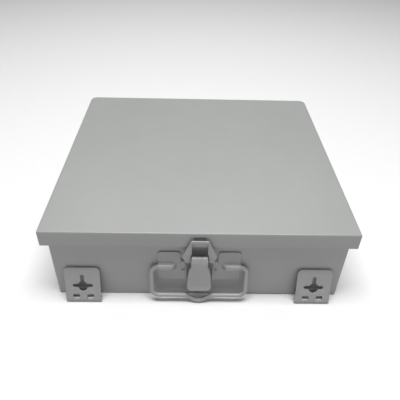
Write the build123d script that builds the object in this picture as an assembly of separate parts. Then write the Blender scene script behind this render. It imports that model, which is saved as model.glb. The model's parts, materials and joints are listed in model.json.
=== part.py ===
from build123d import *
from math import asin, atan2, cos, degrees, hypot, radians, tan
import os

# Fiber termination box: a shallow sheet steel case with a lid hinged along its rear edge, an
# over-centre draw latch, a wire carrying handle and four fold-out wall ears. Inside are a splice tray,
# an adapter panel, fibre spools and cable clamps.
# Millimetres. The origin is the centre of the case's back face, which is the face it lies on.
# +X is to the right seen from the latch, +Y is towards the lid's hinge, +Z is out of the back face.

# ---------------------------------------------------------------- driving sizes
# Case and lid
lid_width = 340.0
lid_depth = 320.0
box_height = 102.0
lid_skirt = 19.5
lid_overhang = 6.4
lid_sheet = 1.2
case_sheet = 1.2
lid_top_fold = 1.6
lid_front_corner = 1.2
lid_rear_corner = 9.0
case_corner = 2.0
case_bottom_fold = 1.5
rim_width = 4.0
gasket_width = 6.0
gasket_gap = 0.2
gasket_height = 2.6
rear_gasket_set_in = 0.6
gasket_past_case = 1.5

# Rear hinge
hinge_length = 300.0
hinge_knuckles = 15
hinge_rivet_count = 5
hinge_barrel_r = 2.4
hinge_pin_r = 1.2
hinge_leaf_sheet = 1.0
hinge_leaf_height = 15.0
hinge_below_skirt = 2.8
hinge_rivet_drop = 8.0
hinge_leaf_clear = 0.6
hinge_leaf_short = 3.0

# Draw latch
latch_sheet = 1.2
latch_plate_width = 92.0
latch_plate_below_skirt = 55.5
wing_top_below_skirt = 12.5
wing_inner = 21.0
wing_corner = 4.0
notch_floor_below_skirt = 25.3
lever_pivot_out = 9.0
lever_pivot_below_skirt = 15.0
lever_pin_r = 1.3
lever_roll_r = 2.6
lever_neck_width = 18.4
lever_roll_width = 17.4
lever_mid_width = 24.4
lever_foot_width = 27.2
lever_shoulder_drop = 10.6
lever_mid_drop = 20.0
lever_tip_height = 20.8
lever_lip_length = 6.8
lever_lip_out = 3.0
lever_tip_corner = 5.0
lever_flange = 5.4
lever_bend = 7.0
lever_flange_end_up = 2.0
lever_flange_end_down = 2.5
hook_pivot_in = 3.1
hook_pivot_drop = 7.0
hook_pin_r = 1.25
hook_eye_r = 2.3
hook_height = 34.0
hook_top_width = 18.8
hook_wide_width = 38.0
hook_wide_height = 10.0
hook_foot_width = 30.8
hook_window_width = 17.2
hook_window_height = 30.1
hook_yoke_width = 19.2
hook_yoke_height = 12.6
hook_lean = 3.5
hook_lip_width = 11.8
hook_lip_gap = 0.35
hook_corner = 1.5
slot_width = 13.4
slot_height = 6.0
slot_top_below_lid = 5.4
bracket_rib_height = 3.4
lever_side_gap = 0.5
bracket_width = 43.0
latch_rivet_x = 18.5
latch_rivet_below_skirt = 38.2
bracket_tongue_width = 6.0
bracket_edge = 1.0
bracket_corner = 3.0
tongue_bend = 1.5
tongue_turn_drop = 4.5
roll_gap = 0.8
roll_side_gap = 0.6

# Wire handle
handle_wire_r = 2.6
handle_width = 107.0
handle_drop = 39.3
handle_nose_drop = 7.6
handle_nose_half = 15.0
handle_pivot_below_skirt = 33.9
handle_upper_bend = 8.1
handle_lower_bend = 8.0
handle_nose_shoulder_bend = 12.0
handle_nose_bend = 7.0
tunnel_inner_end = 24.0
tunnel_taper = 7.0
handle_wire_end = 32.0
handle_nose_point = 0.9

# Fold-out wall ears
ear_width = 40.0
ear_length = 44.5
ear_sheet = 1.2
ear_corner = 4.5
ear_spacing = 264.0
ear_axis_out = 11.0
ear_barrel_r = 3.0
ear_pin_r = 1.5
ear_knuckles = 5
ear_window_length = 8.8
ear_wall_gap = 0.5
keyhole_r = 5.0
keyhole_height = 19.6
keyhole_slot = 4.4
keyhole_reach_up = 15.6
keyhole_reach_side = 11.4
bracket_flange_height = 12.0
bracket_foot_width = 32.0
ear_rivet_step = 11.0
ear_rivet_z = 7.4
bracket_foot_gap = 0.6

# Rivets and screws
rivet_shank_r = 1.6
rivet_head_r = 2.7
rivet_head = 0.8
rivet_tail_r = 2.4
rivet_tail = 1.0
rivet_eye_r = 1.2

# Cable entries
port_r = 10.0
port_bore_r = 5.0
port_flange_r = 13.0
port_flange = 1.6
port_height = 24.0
port_places = (20.0, 70.0)

# Fittings inside
tray_width = 200.0
tray_depth = 112.0
tray_height = 13.0
tray_wall = 2.0
tray_place = (-42.0, -78.0)
post_height = 12.0
post_r = 4.0
cover_sheet = 1.6
cover_barrel_r = 2.0
cover_pin_r = 1.0
cover_finger_r = 9.0
cover_strap = 0.8
tray_corner = 10.0
tray_ring_r = 26.0
tray_ring_below_rim = 3.0
tray_ring_from_end = 34.0
tray_knuckle = 9.7
tray_knuckle_pitch = 10.0
tray_knuckle_from_left = 20.0
tray_knuckle_from_right = 40.0
post_from_edge = 10.0
post_floor = 2.0
holder_length = 44.0
holder_width = 30.0
holder_height = 7.0
holder_grooves = 6
holder_apart = 8.0
holder_step = 11.75
groove_share = 0.36
panel_sheet = 1.5
panel_height = 42.0
panel_foot = 16.0
panel_end = 6.0
panel_screw_from_end = 8.0
panel_screw_back = 2.0
panel_place = (-42.0, 28.0)
adapter_count = 8
adapter_pitch = 18.0
adapter_width = 9.4
adapter_height = 13.0
adapter_length = 27.0
adapter_flange = 22.0
adapter_flange_sheet = 2.0
adapter_wall = 1.2
adapter_axis_height = 24.0
adapter_web = 1.5
web_overlap = 0.5
sleeve_half = 7.0
sleeve_r = 2.2
ferrule_r = 1.25
cap_length = 7.0
cap_head = 2.5
cap_bore_r = 2.3
cap_floor = 1.0
spool_r = 32.0
spool_height = 16.0
spool_wall = 2.0
spool_fingers = 4
spool_finger_reach = 7.0
spool_finger_half = 5.0
spool_places = ((-82.0, 100.0), (18.0, 100.0))
clamp_width = 34.0
clamp_depth = 16.0
clamp_strap = 4.0
clamp_screw_depth = 8.0
clamp_in_from_wall = 34.0
clamp_screw_from_end = 4.0
cable_r = 5.0
screw_r = 1.5
screw_head_r = 2.8
screw_head = 1.8
earth_stud_r = 3.0
earth_stud_inside = 12.0
earth_stud_outside = 10.0
earth_stud_shank_r = 4.0
earth_stud_neck = 0.6
earth_stud_place = 120.0
earth_stud_height = 30.0
earth_nut_flats = 13.0
earth_nut = 4.0

# Clearances
running = 0.05
knuckle_gap = 0.3
wire_play = 0.1
part_gap = 0.3

# ---------------------------------------------------------------- worked-out places
case_width = lid_width - 2 * lid_overhang
case_depth = lid_depth - 2 * lid_overhang
front = -case_depth / 2
rear = case_depth / 2
lid_inside = box_height - lid_sheet
rim_top = lid_inside - gasket_height - gasket_gap
skirt_bottom = box_height - lid_skirt
hinge_y = rear + (lid_overhang - lid_sheet) / 2
hinge_z = skirt_bottom - hinge_below_skirt
lever_y = front - lever_pivot_out
lever_z = skirt_bottom - lever_pivot_below_skirt
lever_tip_drop = lever_z - lever_tip_height
lever_lip_drop = lever_tip_drop - lever_lip_length
latch_plate_bottom = skirt_bottom - latch_plate_below_skirt
wing_top = skirt_bottom - wing_top_below_skirt
notch_floor = skirt_bottom - notch_floor_below_skirt
latch_rivet_z = skirt_bottom - latch_rivet_below_skirt
hook_y = lever_y + hook_pivot_in
hook_z = lever_z - hook_pivot_drop
handle_y = front - handle_wire_r - wire_play
handle_z = skirt_bottom - handle_pivot_below_skirt
handle_reach = handle_drop + handle_nose_drop
# The handle leans out until the nose of its grip stands on the surface under the case.
handle_lean = degrees(asin((1 - ((handle_z - handle_wire_r) / handle_reach) ** 2) ** 0.5))
# The ear leans in until its free edge stops just short of the wall.
ear_face = ear_barrel_r - ear_sheet
ear_lean = degrees(
    asin((ear_axis_out - ear_wall_gap) / hypot(ear_face, ear_length)) + atan2(ear_face, ear_length)
)
ear_top = ear_barrel_r + hypot(ear_barrel_r, ear_length)
# The lower hinge leaf ends above the rear ears' free edges.
leaf_low = max(hinge_z - hinge_leaf_height - hinge_leaf_short, ear_top + part_gap)
panel_x, panel_y = panel_place
tray_x, tray_y = tray_place
floor = case_sheet


# ---------------------------------------------------------------- shape helpers
def block(x0, x1, y0, y1, z0, z1):
    """A rectangular block between two corners."""
    middle = Pos((x0 + x1) / 2, (y0 + y1) / 2, (z0 + z1) / 2)
    return middle * Box(abs(x1 - x0), abs(y1 - y0), abs(z1 - z0))


def bar_x(x0, x1, y, z, radius):
    """A round bar along X."""
    return Pos((x0 + x1) / 2, y, z) * Rot(0, 90, 0) * Cylinder(radius, abs(x1 - x0))


def bar_y(x, y0, y1, z, radius):
    """A round bar along Y."""
    return Pos(x, (y0 + y1) / 2, z) * Rot(90, 0, 0) * Cylinder(radius, abs(y1 - y0))


def bar_z(x, y, z0, z1, radius):
    """A round bar along Z."""
    return Pos(x, y, (z0 + z1) / 2) * Cylinder(radius, abs(z1 - z0))


def front_sheet(outline, out, thickness):
    """An outline drawn in X and Z, raised outwards from a plane that lies out from the front wall."""
    plane = Plane(origin=(0, front - out, 0), x_dir=(1, 0, 0), z_dir=(0, -1, 0))
    return extrude(plane * outline, amount=thickness)


def side_profile(outline, x0, x1):
    """An outline drawn in Y and Z, drawn out along X."""
    plane = Plane(origin=(x0, 0, 0), x_dir=(0, 1, 0), z_dir=(1, 0, 0))
    return extrude(plane * outline, amount=x1 - x0)


def both_sides(shape):
    """The shape and its mirror image across the middle plane X = 0."""
    return shape + mirror(shape, about=Plane.YZ)


def symmetric_outline(half_points):
    """A closed polygon from its right half, given from top to bottom as (x, z) points."""
    left = [(-x, z) for x, z in reversed(half_points)]
    return make_face(Polyline(*half_points, *left, close=True))


def outer_edges(shape, axis, x_least=0.0, y_side=0):
    """Edges along an axis, further out than x_least, and on one side in Y if y_side isn't 0."""
    chosen = [e for e in shape.edges().filter_by(axis) if abs(e.center().X) >= x_least]
    return [e for e in chosen if y_side == 0 or e.center().Y * y_side > 0]


def rivet_y(x, wall_y, z, grip_out, grip_in, outwards):
    """A blind rivet through a wall that faces Y. Its head is outwards, its tail inside."""
    head_y = wall_y + outwards * grip_out
    tail_y = wall_y - outwards * grip_in
    rivet = bar_y(x, head_y, tail_y, z, rivet_shank_r)
    rivet += bar_y(x, head_y, head_y + outwards * rivet_head, z, rivet_head_r)
    rivet += bar_y(x, tail_y, tail_y - outwards * rivet_tail, z, rivet_tail_r)
    top = head_y + outwards * rivet_head
    return rivet - bar_y(x, top, head_y - outwards * rivet_head, z, rivet_eye_r)


# ---------------------------------------------------------------- fastening places
hinge_rivet_z = hinge_z - hinge_barrel_r - hinge_rivet_drop
hinge_rivet_pitch = hinge_length / hinge_rivet_count
hinge_rivet_x = [(i - (hinge_rivet_count - 1) / 2) * hinge_rivet_pitch for i in range(hinge_rivet_count)]
ear_centres = [(-ear_spacing / 2, -1), (ear_spacing / 2, -1), (-ear_spacing / 2, 1), (ear_spacing / 2, 1)]
tray_post_step = (tray_width / 2 - post_from_edge, tray_depth / 2 - post_from_edge)
tray_post_places = [
    (tray_x + i * tray_post_step[0], tray_y + j * tray_post_step[1]) for i in (-1, 1) for j in (-1, 1)
]
panel_half = adapter_count * adapter_pitch / 2 + panel_end
panel_screw_places = [
    (panel_x + i * (panel_half - panel_screw_from_end), panel_y + panel_foot / 2 + panel_screw_back)
    for i in (-1, 1)
]
clamp_x = case_width / 2 - clamp_in_from_wall
clamp_screw_step = clamp_width / 2 - clamp_screw_from_end
clamp_places = [(side, y) for side in (-1, 1) for y in port_places]


# ---------------------------------------------------------------- case
def make_case():
    """The folded base: floor, four walls, an outward rim on top and every hole in it."""
    shell = block(-case_width / 2, case_width / 2, front, rear, 0, rim_top)
    shell = fillet(shell.edges().filter_by(Axis.Z), case_corner)
    shell = fillet(shell.faces().sort_by(Axis.Z)[0].edges(), case_bottom_fold)
    hollow = block(
        -case_width / 2 + case_sheet, case_width / 2 - case_sheet,
        front + case_sheet, rear - case_sheet, case_sheet, rim_top + 1,
    )
    hollow = fillet(hollow.edges().filter_by(Axis.Z), case_corner - case_sheet)
    rim = block(
        -case_width / 2 - rim_width, case_width / 2 + rim_width,
        front - rim_width, rear + rim_width, rim_top - case_sheet, rim_top,
    )
    rim = fillet(rim.edges().filter_by(Axis.Z), case_corner + rim_width)
    shell = shell + rim - hollow
    for x in (-latch_rivet_x, latch_rivet_x):
        shell -= bar_y(x, front - 1, front + 3, latch_rivet_z, rivet_shank_r)
    for x in hinge_rivet_x:
        shell -= bar_y(x, rear - 3, rear + 1, hinge_rivet_z, rivet_shank_r)
    for x, side in ear_centres:
        for step in (-ear_rivet_step, ear_rivet_step):
            wall = side * case_depth / 2
            shell -= bar_y(x + step, wall - 3, wall + 3, ear_rivet_z, rivet_shank_r)
    for side, y in clamp_places:
        wall = side * case_width / 2
        shell -= bar_x(wall - 3, wall + 3, y, port_height, port_r)
    wall = case_width / 2
    shell -= bar_x(wall - 3, wall + 3, earth_stud_place, earth_stud_height, earth_stud_shank_r)
    return shell


def make_lid():
    """The lid: a flat top with a skirt all round, sharp in front and rounded behind, and a latch slot."""
    w, d = lid_width / 2, lid_depth / 2
    lid = block(-w, w, -d, d, skirt_bottom, box_height)
    lid = fillet(outer_edges(lid, Axis.Z, y_side=1), lid_rear_corner)
    lid = fillet(outer_edges(lid, Axis.Z, y_side=-1), lid_front_corner)
    lid = fillet(lid.faces().sort_by(Axis.Z)[-1].edges(), lid_top_fold)
    inner_w, inner_d = w - lid_sheet, d - lid_sheet
    hollow = block(-inner_w, inner_w, -inner_d, inner_d, skirt_bottom - 1, lid_inside)
    hollow = fillet(outer_edges(hollow, Axis.Z, y_side=1), lid_rear_corner - lid_sheet)
    hollow = fillet(hollow.faces().sort_by(Axis.Z)[-1].edges(), lid_top_fold - lid_sheet)
    slot_top = box_height - slot_top_below_lid
    slot = block(-slot_width / 2, slot_width / 2, -d - 1, -inner_d + 1, slot_top - slot_height, slot_top)
    return lid - hollow - slot


def make_gasket():
    """A square foam strip stuck under the lid, all round over the case's rim."""
    out_x = case_width / 2 + gasket_past_case
    out_front = front - gasket_past_case
    out_rear = hinge_y - rear_gasket_set_in
    top = lid_inside
    low = top - gasket_height
    strip = block(-out_x, out_x, out_front, out_rear, low, top)
    inside = block(
        -out_x + gasket_width, out_x - gasket_width,
        out_front + gasket_width, out_rear - gasket_width, low - 1, top + 1,
    )
    return strip - inside


# ---------------------------------------------------------------- rear hinge
def make_hinge_leaf(for_lid):
    """One leaf of the continuous hinge: a plate and every other knuckle."""
    plate_y = hinge_y + (lid_overhang - lid_sheet) / 2 - hinge_leaf_sheet if for_lid else rear
    pitch = hinge_length / hinge_knuckles
    half = hinge_length / 2
    if for_lid:
        low, high = skirt_bottom + part_gap, skirt_bottom + hinge_leaf_height - hinge_leaf_short
        tab_low, tab_high = hinge_z, low + 1
    else:
        low, high = leaf_low, hinge_z - hinge_barrel_r - hinge_leaf_clear
        tab_low, tab_high = high - 1, hinge_z
    leaf = block(-half, half, plate_y, plate_y + hinge_leaf_sheet, low, high)
    bore = hinge_pin_r + running if for_lid else hinge_pin_r
    for i in range(1 if for_lid else 0, hinge_knuckles, 2):
        x0 = -half + i * pitch + (knuckle_gap / 2 if i else 0)
        x1 = -half + (i + 1) * pitch - knuckle_gap / 2
        leaf += block(x0, x1, plate_y, plate_y + hinge_leaf_sheet, tab_low, tab_high)
        leaf += bar_x(x0, x1, hinge_y, hinge_z, hinge_barrel_r)
    leaf -= bar_x(-half - 1, half + 1, hinge_y, hinge_z, bore)
    if not for_lid:
        for x in hinge_rivet_x:
            leaf -= bar_y(x, rear - 1, rear + 3, hinge_rivet_z, rivet_shank_r)
    return leaf


def make_hinge_pin():
    """The long wire pin of the rear hinge."""
    return bar_x(-hinge_length / 2, hinge_length / 2, hinge_y, hinge_z, hinge_pin_r)


def make_hinge_rivets():
    """The rivets that hold the lower hinge leaf on the rear wall."""
    return [rivet_y(x, rear, hinge_rivet_z, hinge_leaf_sheet, case_sheet, 1) for x in hinge_rivet_x]


# ---------------------------------------------------------------- draw latch
def tunnel_section(radius):
    """A half-round arch on the wall, drawn in Y and Z around the handle's axis."""
    arch = Pos(handle_y, handle_z) * Circle(radius)
    legs = Pos((handle_y + front) / 2, handle_z) * Rectangle(front - handle_y, 2 * radius)
    keep = Pos(front - 50, handle_z) * Rectangle(100, 100)
    return (arch + legs) & keep


def make_latch_plate():
    """The wide stamping on the wall: two wings, a notch for the hook and a tunnel for each wire end."""
    half = latch_plate_width / 2
    outline = symmetric_outline([
        (wing_inner, wing_top), (half, wing_top), (half, latch_plate_bottom),
    ])
    notch_height = wing_top - notch_floor
    notch = Pos(0, notch_floor + notch_height / 2 + 1) * Rectangle(2 * wing_inner, notch_height + 2)
    plate = front_sheet(outline, 0, latch_sheet) + front_sheet(
        Pos(0, (wing_top + latch_plate_bottom) / 2)
        * Rectangle(2 * wing_inner + 1, wing_top - latch_plate_bottom), 0, latch_sheet
    )
    plate -= front_sheet(notch, -1, latch_sheet + 2)
    tips = [e for e in plate.edges().filter_by(Axis.Y) if e.center().Z > wing_top - 1]
    plate = fillet(tips, wing_corner)
    outer = handle_wire_r + wire_play + latch_sheet
    inner = handle_wire_r + wire_play
    straight = tunnel_inner_end + tunnel_taper
    arch = side_profile(tunnel_section(outer), straight, half)
    foot_plane = Plane(origin=(tunnel_inner_end, 0, 0), x_dir=(0, 1, 0), z_dir=(1, 0, 0))
    tip = foot_plane * (Pos(front - latch_sheet, handle_z) * Rectangle(latch_sheet, outer / 2))
    mouth_plane = Plane(origin=(straight, 0, 0), x_dir=(0, 1, 0), z_dir=(1, 0, 0))
    taper = loft([tip.face(), (mouth_plane * tunnel_section(outer)).face()])
    way = side_profile(tunnel_section(inner), straight, half + 1)
    right = arch + taper
    plate = plate + both_sides(right) - both_sides(way)
    for x in (-latch_rivet_x, latch_rivet_x):
        plate -= bar_y(x, front - 3, front + 1, latch_rivet_z, rivet_shank_r)
    return plate


def make_latch_bracket():
    """The foot behind the lever, with a low rib each side and a tongue that carries the lever's pin."""
    half = bracket_width / 2
    base_out = latch_sheet
    low, high = latch_plate_bottom + bracket_edge, notch_floor - bracket_edge
    foot = front_sheet(Pos(0, (low + high) / 2) * Rectangle(2 * half, high - low), base_out, latch_sheet)
    foot = fillet(outer_edges(foot, Axis.Y), bracket_corner)
    rib_in = lever_foot_width / 2 + lever_side_gap
    rib = block(
        rib_in, rib_in + latch_sheet, front - base_out - latch_sheet - bracket_rib_height,
        front - base_out - latch_sheet, low, high,
    )
    foot += both_sides(rib)
    middle_out = base_out + latch_sheet / 2
    y = front - middle_out
    roll_entry = (lever_y + latch_sheet, lever_z + latch_sheet / 2)
    turn = (y, lever_z - tongue_turn_drop)
    path = FilletPolyline((y, high - 2 * bracket_edge), turn, roll_entry, radius=tongue_bend)
    half_tongue = bracket_tongue_width / 2
    bracket = foot + side_profile(trace(path, line_width=latch_sheet), -half_tongue, half_tongue)
    bracket += bar_x(-half_tongue, half_tongue, lever_y, lever_z, lever_roll_r)
    bracket -= bar_x(-half_tongue - 1, half_tongue + 1, lever_y, lever_z, lever_pin_r)
    for x in (-latch_rivet_x, latch_rivet_x):
        bracket -= bar_y(x, front - 4, front + 1, latch_rivet_z, rivet_shank_r)
    return bracket


def make_latch_pin():
    """The pin through the bracket's knuckle that the lever turns on."""
    return bar_x(-lever_roll_width / 2, lever_roll_width / 2, lever_y, lever_z, lever_pin_r)


def make_latch_rivets():
    """The two rivets that hold the latch to the front wall."""
    places = (-latch_rivet_x, latch_rivet_x)
    return [rivet_y(x, front, latch_rivet_z, 2 * latch_sheet, case_sheet, -1) for x in places]


def lever_outline(inset):
    """The lever seen from the front, taken in by inset at each side."""
    z = lever_z
    return symmetric_outline([
        (lever_neck_width / 2 - inset, z),
        (lever_neck_width / 2 - inset, z - lever_shoulder_drop),
        (lever_mid_width / 2 - inset, z - lever_mid_drop),
        (lever_foot_width / 2 - inset, z - lever_lip_drop),
        (lever_foot_width / 2 - inset, z - lever_tip_drop - 1),
    ])


def make_lever():
    """The latch lever: a channel with a rolled knuckle on top and a finger lip turned out below."""
    half_roll = lever_roll_width / 2
    face_out = lever_pivot_out + lever_roll_r
    centre_y = front - face_out + latch_sheet / 2
    path = FilletPolyline(
        (centre_y, lever_z),
        (centre_y, lever_z - lever_lip_drop),
        (centre_y - lever_lip_out, lever_z - lever_tip_drop),
        radius=lever_bend,
    )
    sheet = side_profile(trace(path, line_width=latch_sheet), -lever_foot_width / 2, lever_foot_width / 2)
    front_shape = front_sheet(lever_outline(0), 0, face_out + lever_lip_out + 2)
    roll_low = lever_z - lever_roll_r - roll_side_gap
    roll_cut = block(half_roll, lever_foot_width, front - 40, front, roll_low, lever_z + 9)
    lever = (sheet & front_shape) - both_sides(roll_cut)
    tip = [e for e in lever.edges() if e.center().Z < lever_z - lever_tip_drop + 1.5 and e.length < 2.5]
    corner_edges = [e for e in tip if abs(e.center().X) > lever_foot_width / 2 - 0.1 and e.length > 1.0]
    lever = fillet(corner_edges, lever_tip_corner)
    depth = latch_sheet + lever_flange
    channel = front_sheet(lever_outline(0), face_out - depth, depth)
    channel -= front_sheet(lever_outline(latch_sheet), face_out - depth - 1, lever_flange + 1)
    low = lever_z - lever_lip_drop + lever_flange_end_up
    high = lever_z - lever_shoulder_drop - lever_flange_end_down
    channel &= block(-40, 40, front - 40, front, low, high)
    lever += channel
    neck_in = lever_neck_width / 2 - latch_sheet
    cheek = Pos(hook_y, hook_z) * Circle(lever_roll_r)
    cheek += make_face(Polyline(
        (hook_y, hook_z + lever_roll_r), (centre_y, hook_z + lever_roll_r),
        (centre_y, hook_z - lever_roll_r), (hook_y, hook_z - lever_roll_r), close=True,
    ))
    lever += both_sides(side_profile(cheek, neck_in, lever_neck_width / 2))
    lever += bar_x(-half_roll, half_roll, lever_y, lever_z, lever_roll_r)
    room = bracket_tongue_width / 2 + knuckle_gap
    lever -= block(
        -room, room, front - face_out - 1, front,
        lever_z - lever_roll_r - roll_gap, lever_z + lever_roll_r + 1,
    )
    lever -= bar_x(-half_roll - 1, half_roll + 1, lever_y, lever_z, lever_pin_r + running)
    lever -= bar_x(-half_roll - 5, half_roll + 5, hook_y, hook_z, hook_pin_r)
    return lever


def make_hook_pin():
    """The pin held in the lever's cheeks that the hook turns on."""
    return bar_x(-hook_foot_width / 2, hook_foot_width / 2, hook_y, hook_z, hook_pin_r)


def make_hook():
    """The draw hook: a six-sided plate, open in the middle, with an eye on each arm and a lip turned in."""
    half_yoke = hook_yoke_width / 2
    outline = symmetric_outline([
        (hook_top_width / 2, hook_height), (hook_wide_width / 2, hook_wide_height),
        (hook_foot_width / 2, 0),
    ])
    window = Pos(0, hook_window_height / 2 - 5) * Rectangle(hook_window_width, hook_window_height + 10)
    window += Pos(0, hook_yoke_height / 2 - 5) * Rectangle(hook_yoke_width, hook_yoke_height + 10)
    plane = Plane(origin=(0, latch_sheet - hook_eye_r, 0), x_dir=(1, 0, 0), z_dir=(0, -1, 0))
    hook = extrude(plane * (outline - window), amount=latch_sheet)
    top_corners = [e for e in hook.edges().filter_by(Axis.Y) if e.center().Z > hook_window_height + 0.5]
    hook = fillet(top_corners, hook_corner)
    reach = (front - lid_overhang - hook_lip_gap - hook_y) - hook_window_height * tan(radians(-hook_lean))
    lip = block(
        -hook_lip_width / 2, hook_lip_width / 2, latch_sheet - hook_eye_r - 0.1, reach,
        hook_window_height, hook_window_height + latch_sheet,
    )
    hook += lip
    eye = bar_x(half_yoke, hook_foot_width / 2, 0, 0, hook_eye_r)
    hook += both_sides(eye)
    hook -= bar_x(-40, 40, 0, 0, hook_pin_r + running)
    return Pos(0, hook_y, hook_z) * Rot(hook_lean, 0, 0) * hook


# ---------------------------------------------------------------- wire handle
def make_handle():
    """The bent wire handle: two ends in the tunnels, two legs and a grip with a nose in its middle."""
    half = handle_width / 2
    points = [
        (-handle_wire_end, 0), (-half, 0), (-half, handle_drop), (-handle_nose_half, handle_drop),
        (0, handle_reach + handle_nose_point),
        (handle_nose_half, handle_drop), (half, handle_drop), (half, 0), (handle_wire_end, 0),
    ]
    bends = [
        handle_upper_bend, handle_lower_bend, handle_nose_shoulder_bend, handle_nose_bend,
        handle_nose_shoulder_bend, handle_lower_bend, handle_upper_bend,
    ]
    path = FilletPolyline(*[(x, 0, -drop) for x, drop in points], radius=bends)
    section = Plane(origin=path @ 0, z_dir=path % 0) * Circle(handle_wire_r)
    wire = sweep(section, path=path)
    return Pos(0, handle_y, handle_z) * Rot(-handle_lean, 0, 0) * wire


# ---------------------------------------------------------------- wall ears
def ear_bands(own):
    """The X ranges of every other knuckle of an ear hinge, from its centre."""
    pitch = ear_width / ear_knuckles
    bands = []
    for i in range(0 if own else 1, ear_knuckles, 2):
        x0 = -ear_width / 2 + i * pitch + (0 if i == 0 else knuckle_gap / 2)
        last = i == ear_knuckles - 1
        bands.append((x0, -ear_width / 2 + (i + 1) * pitch - (0 if last else knuckle_gap / 2)))
    return bands


def place_ear(shape, x, side):
    """Puts a shape made about the ear's hinge axis on the front (-1) or rear (1) wall."""
    turned = shape if side < 0 else Rot(0, 0, 180) * shape
    return Pos(x, side * (case_depth / 2 + ear_axis_out), ear_barrel_r) * turned


def make_ear(x, side):
    """A fold-out ear, leaning in against the wall: a plate with a cross keyhole and three knuckles."""
    half = ear_width / 2
    plate = block(-half, half, -ear_barrel_r, -ear_face, 0, ear_length)
    plate = fillet([e for e in plate.edges().filter_by(Axis.Y) if e.center().Z > 1], ear_corner)
    for x0, x1 in ear_bands(False):
        gap = knuckle_gap
        plate -= block(x0 - gap, x1 + gap, -ear_barrel_r - 1, -ear_face + 1, -1, ear_window_length)
    face = (-ear_barrel_r - 1, -ear_face + 1)
    hole = bar_y(0, *face, keyhole_height, keyhole_r)
    arm = keyhole_slot / 2
    hole += block(-arm, arm, *face, keyhole_height, keyhole_height + keyhole_reach_up - arm)
    hole += bar_y(0, *face, keyhole_height + keyhole_reach_up - arm, arm)
    across = keyhole_reach_side - arm
    hole += block(-across, across, *face, keyhole_height - arm, keyhole_height + arm)
    for end in (-across, across):
        hole += bar_y(end, *face, keyhole_height, arm)
    ear = plate - hole
    for x0, x1 in ear_bands(True):
        ear += bar_x(x0, x1, 0, 0, ear_barrel_r)
    ear -= bar_x(-half - 1, half + 1, 0, 0, ear_pin_r + running)
    return place_ear(Rot(-ear_lean, 0, 0) * ear, x, side)


def make_ear_bracket(x, side):
    """The bracket an ear turns on: a flange on the wall, a foot level with the back and two knuckles."""
    half = bracket_foot_width / 2
    wall_y = ear_axis_out
    low = -ear_barrel_r
    foot_end = ear_barrel_r + bracket_foot_gap
    bracket = block(-half, half, foot_end, wall_y, low, low + ear_sheet)
    bracket += block(-half, half, wall_y - ear_sheet, wall_y, low, low + bracket_flange_height)
    for x0, x1 in ear_bands(False):
        bracket += block(x0, x1, 0, foot_end + 1, low, low + ear_sheet)
        bracket += bar_x(x0, x1, 0, 0, ear_barrel_r)
    bracket -= bar_x(-half - 1, half + 1, 0, 0, ear_pin_r)
    for step in (-ear_rivet_step, ear_rivet_step):
        bracket -= bar_y(step, wall_y - 3, wall_y + 1, ear_rivet_z - ear_barrel_r, rivet_shank_r)
    return place_ear(bracket, x, side)


def make_ear_pins():
    """The four pins of the ear hinges."""
    pin = bar_x(-ear_width / 2, ear_width / 2, 0, 0, ear_pin_r)
    return [place_ear(pin, x, side) for x, side in ear_centres]


def make_ear_rivets():
    """Two rivets for each ear bracket."""
    rivets = []
    for x, side in ear_centres:
        for step in (-ear_rivet_step, ear_rivet_step):
            rivets.append(rivet_y(x + step, side * case_depth / 2, ear_rivet_z, ear_sheet, case_sheet, side))
    return rivets


# ---------------------------------------------------------------- cable entries
def make_grommet(side, y):
    """A rubber grommet in a side wall, grooved for the sheet and bored for one cable."""
    wall = side * case_width / 2
    inner = wall - side * case_sheet
    ring = bar_x(wall, inner, y, port_height, port_r)
    ring += bar_x(wall, wall + side * port_flange, y, port_height, port_flange_r)
    ring += bar_x(inner, inner - side * port_flange, y, port_height, port_flange_r)
    return ring - bar_x(wall - side * 9, wall + side * 9, y, port_height, port_bore_r)


def make_clamp_base(side, y):
    """The lower half of a cable clamp, standing on the floor in line with its grommet."""
    x = side * clamp_x
    base = block(
        x - clamp_depth / 2, x + clamp_depth / 2, y - clamp_width / 2, y + clamp_width / 2,
        floor, port_height - part_gap,
    )
    base -= bar_x(x - clamp_depth, x + clamp_depth, y, port_height, cable_r)
    for step in (-1, 1):
        base -= bar_z(x, y + step * clamp_screw_step, port_height - clamp_screw_depth, port_height, screw_r)
    return base


def make_clamp_strap(side, y):
    """The upper half of a cable clamp, an arched strap over the cable."""
    x = side * clamp_x
    half = clamp_width / 2
    low = port_height + part_gap
    x0, x1 = x - clamp_depth / 2, x + clamp_depth / 2
    strap = block(x0, x1, y - half, y + half, low, low + clamp_strap)
    strap += bar_x(x0, x1, y, port_height, cable_r + clamp_strap) & block(
        x0, x1, y - half, y + half, low, low + 40,
    )
    strap -= bar_x(x0 - 1, x1 + 1, y, port_height, cable_r)
    for step in (-1, 1):
        strap -= bar_z(x, y + step * clamp_screw_step, low - 1, low + 40, screw_r)
    return strap


def make_clamp_screws():
    """Two screws for each cable clamp."""
    screws = []
    for side, y in clamp_places:
        for step in (-1, 1):
            place = y + step * clamp_screw_step
            top = port_height + part_gap + clamp_strap
            screw = bar_z(side * clamp_x, place, port_height - clamp_screw_depth, top, screw_r)
            screws.append(screw + bar_z(side * clamp_x, place, top, top + screw_head, screw_head_r))
    return screws


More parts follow.
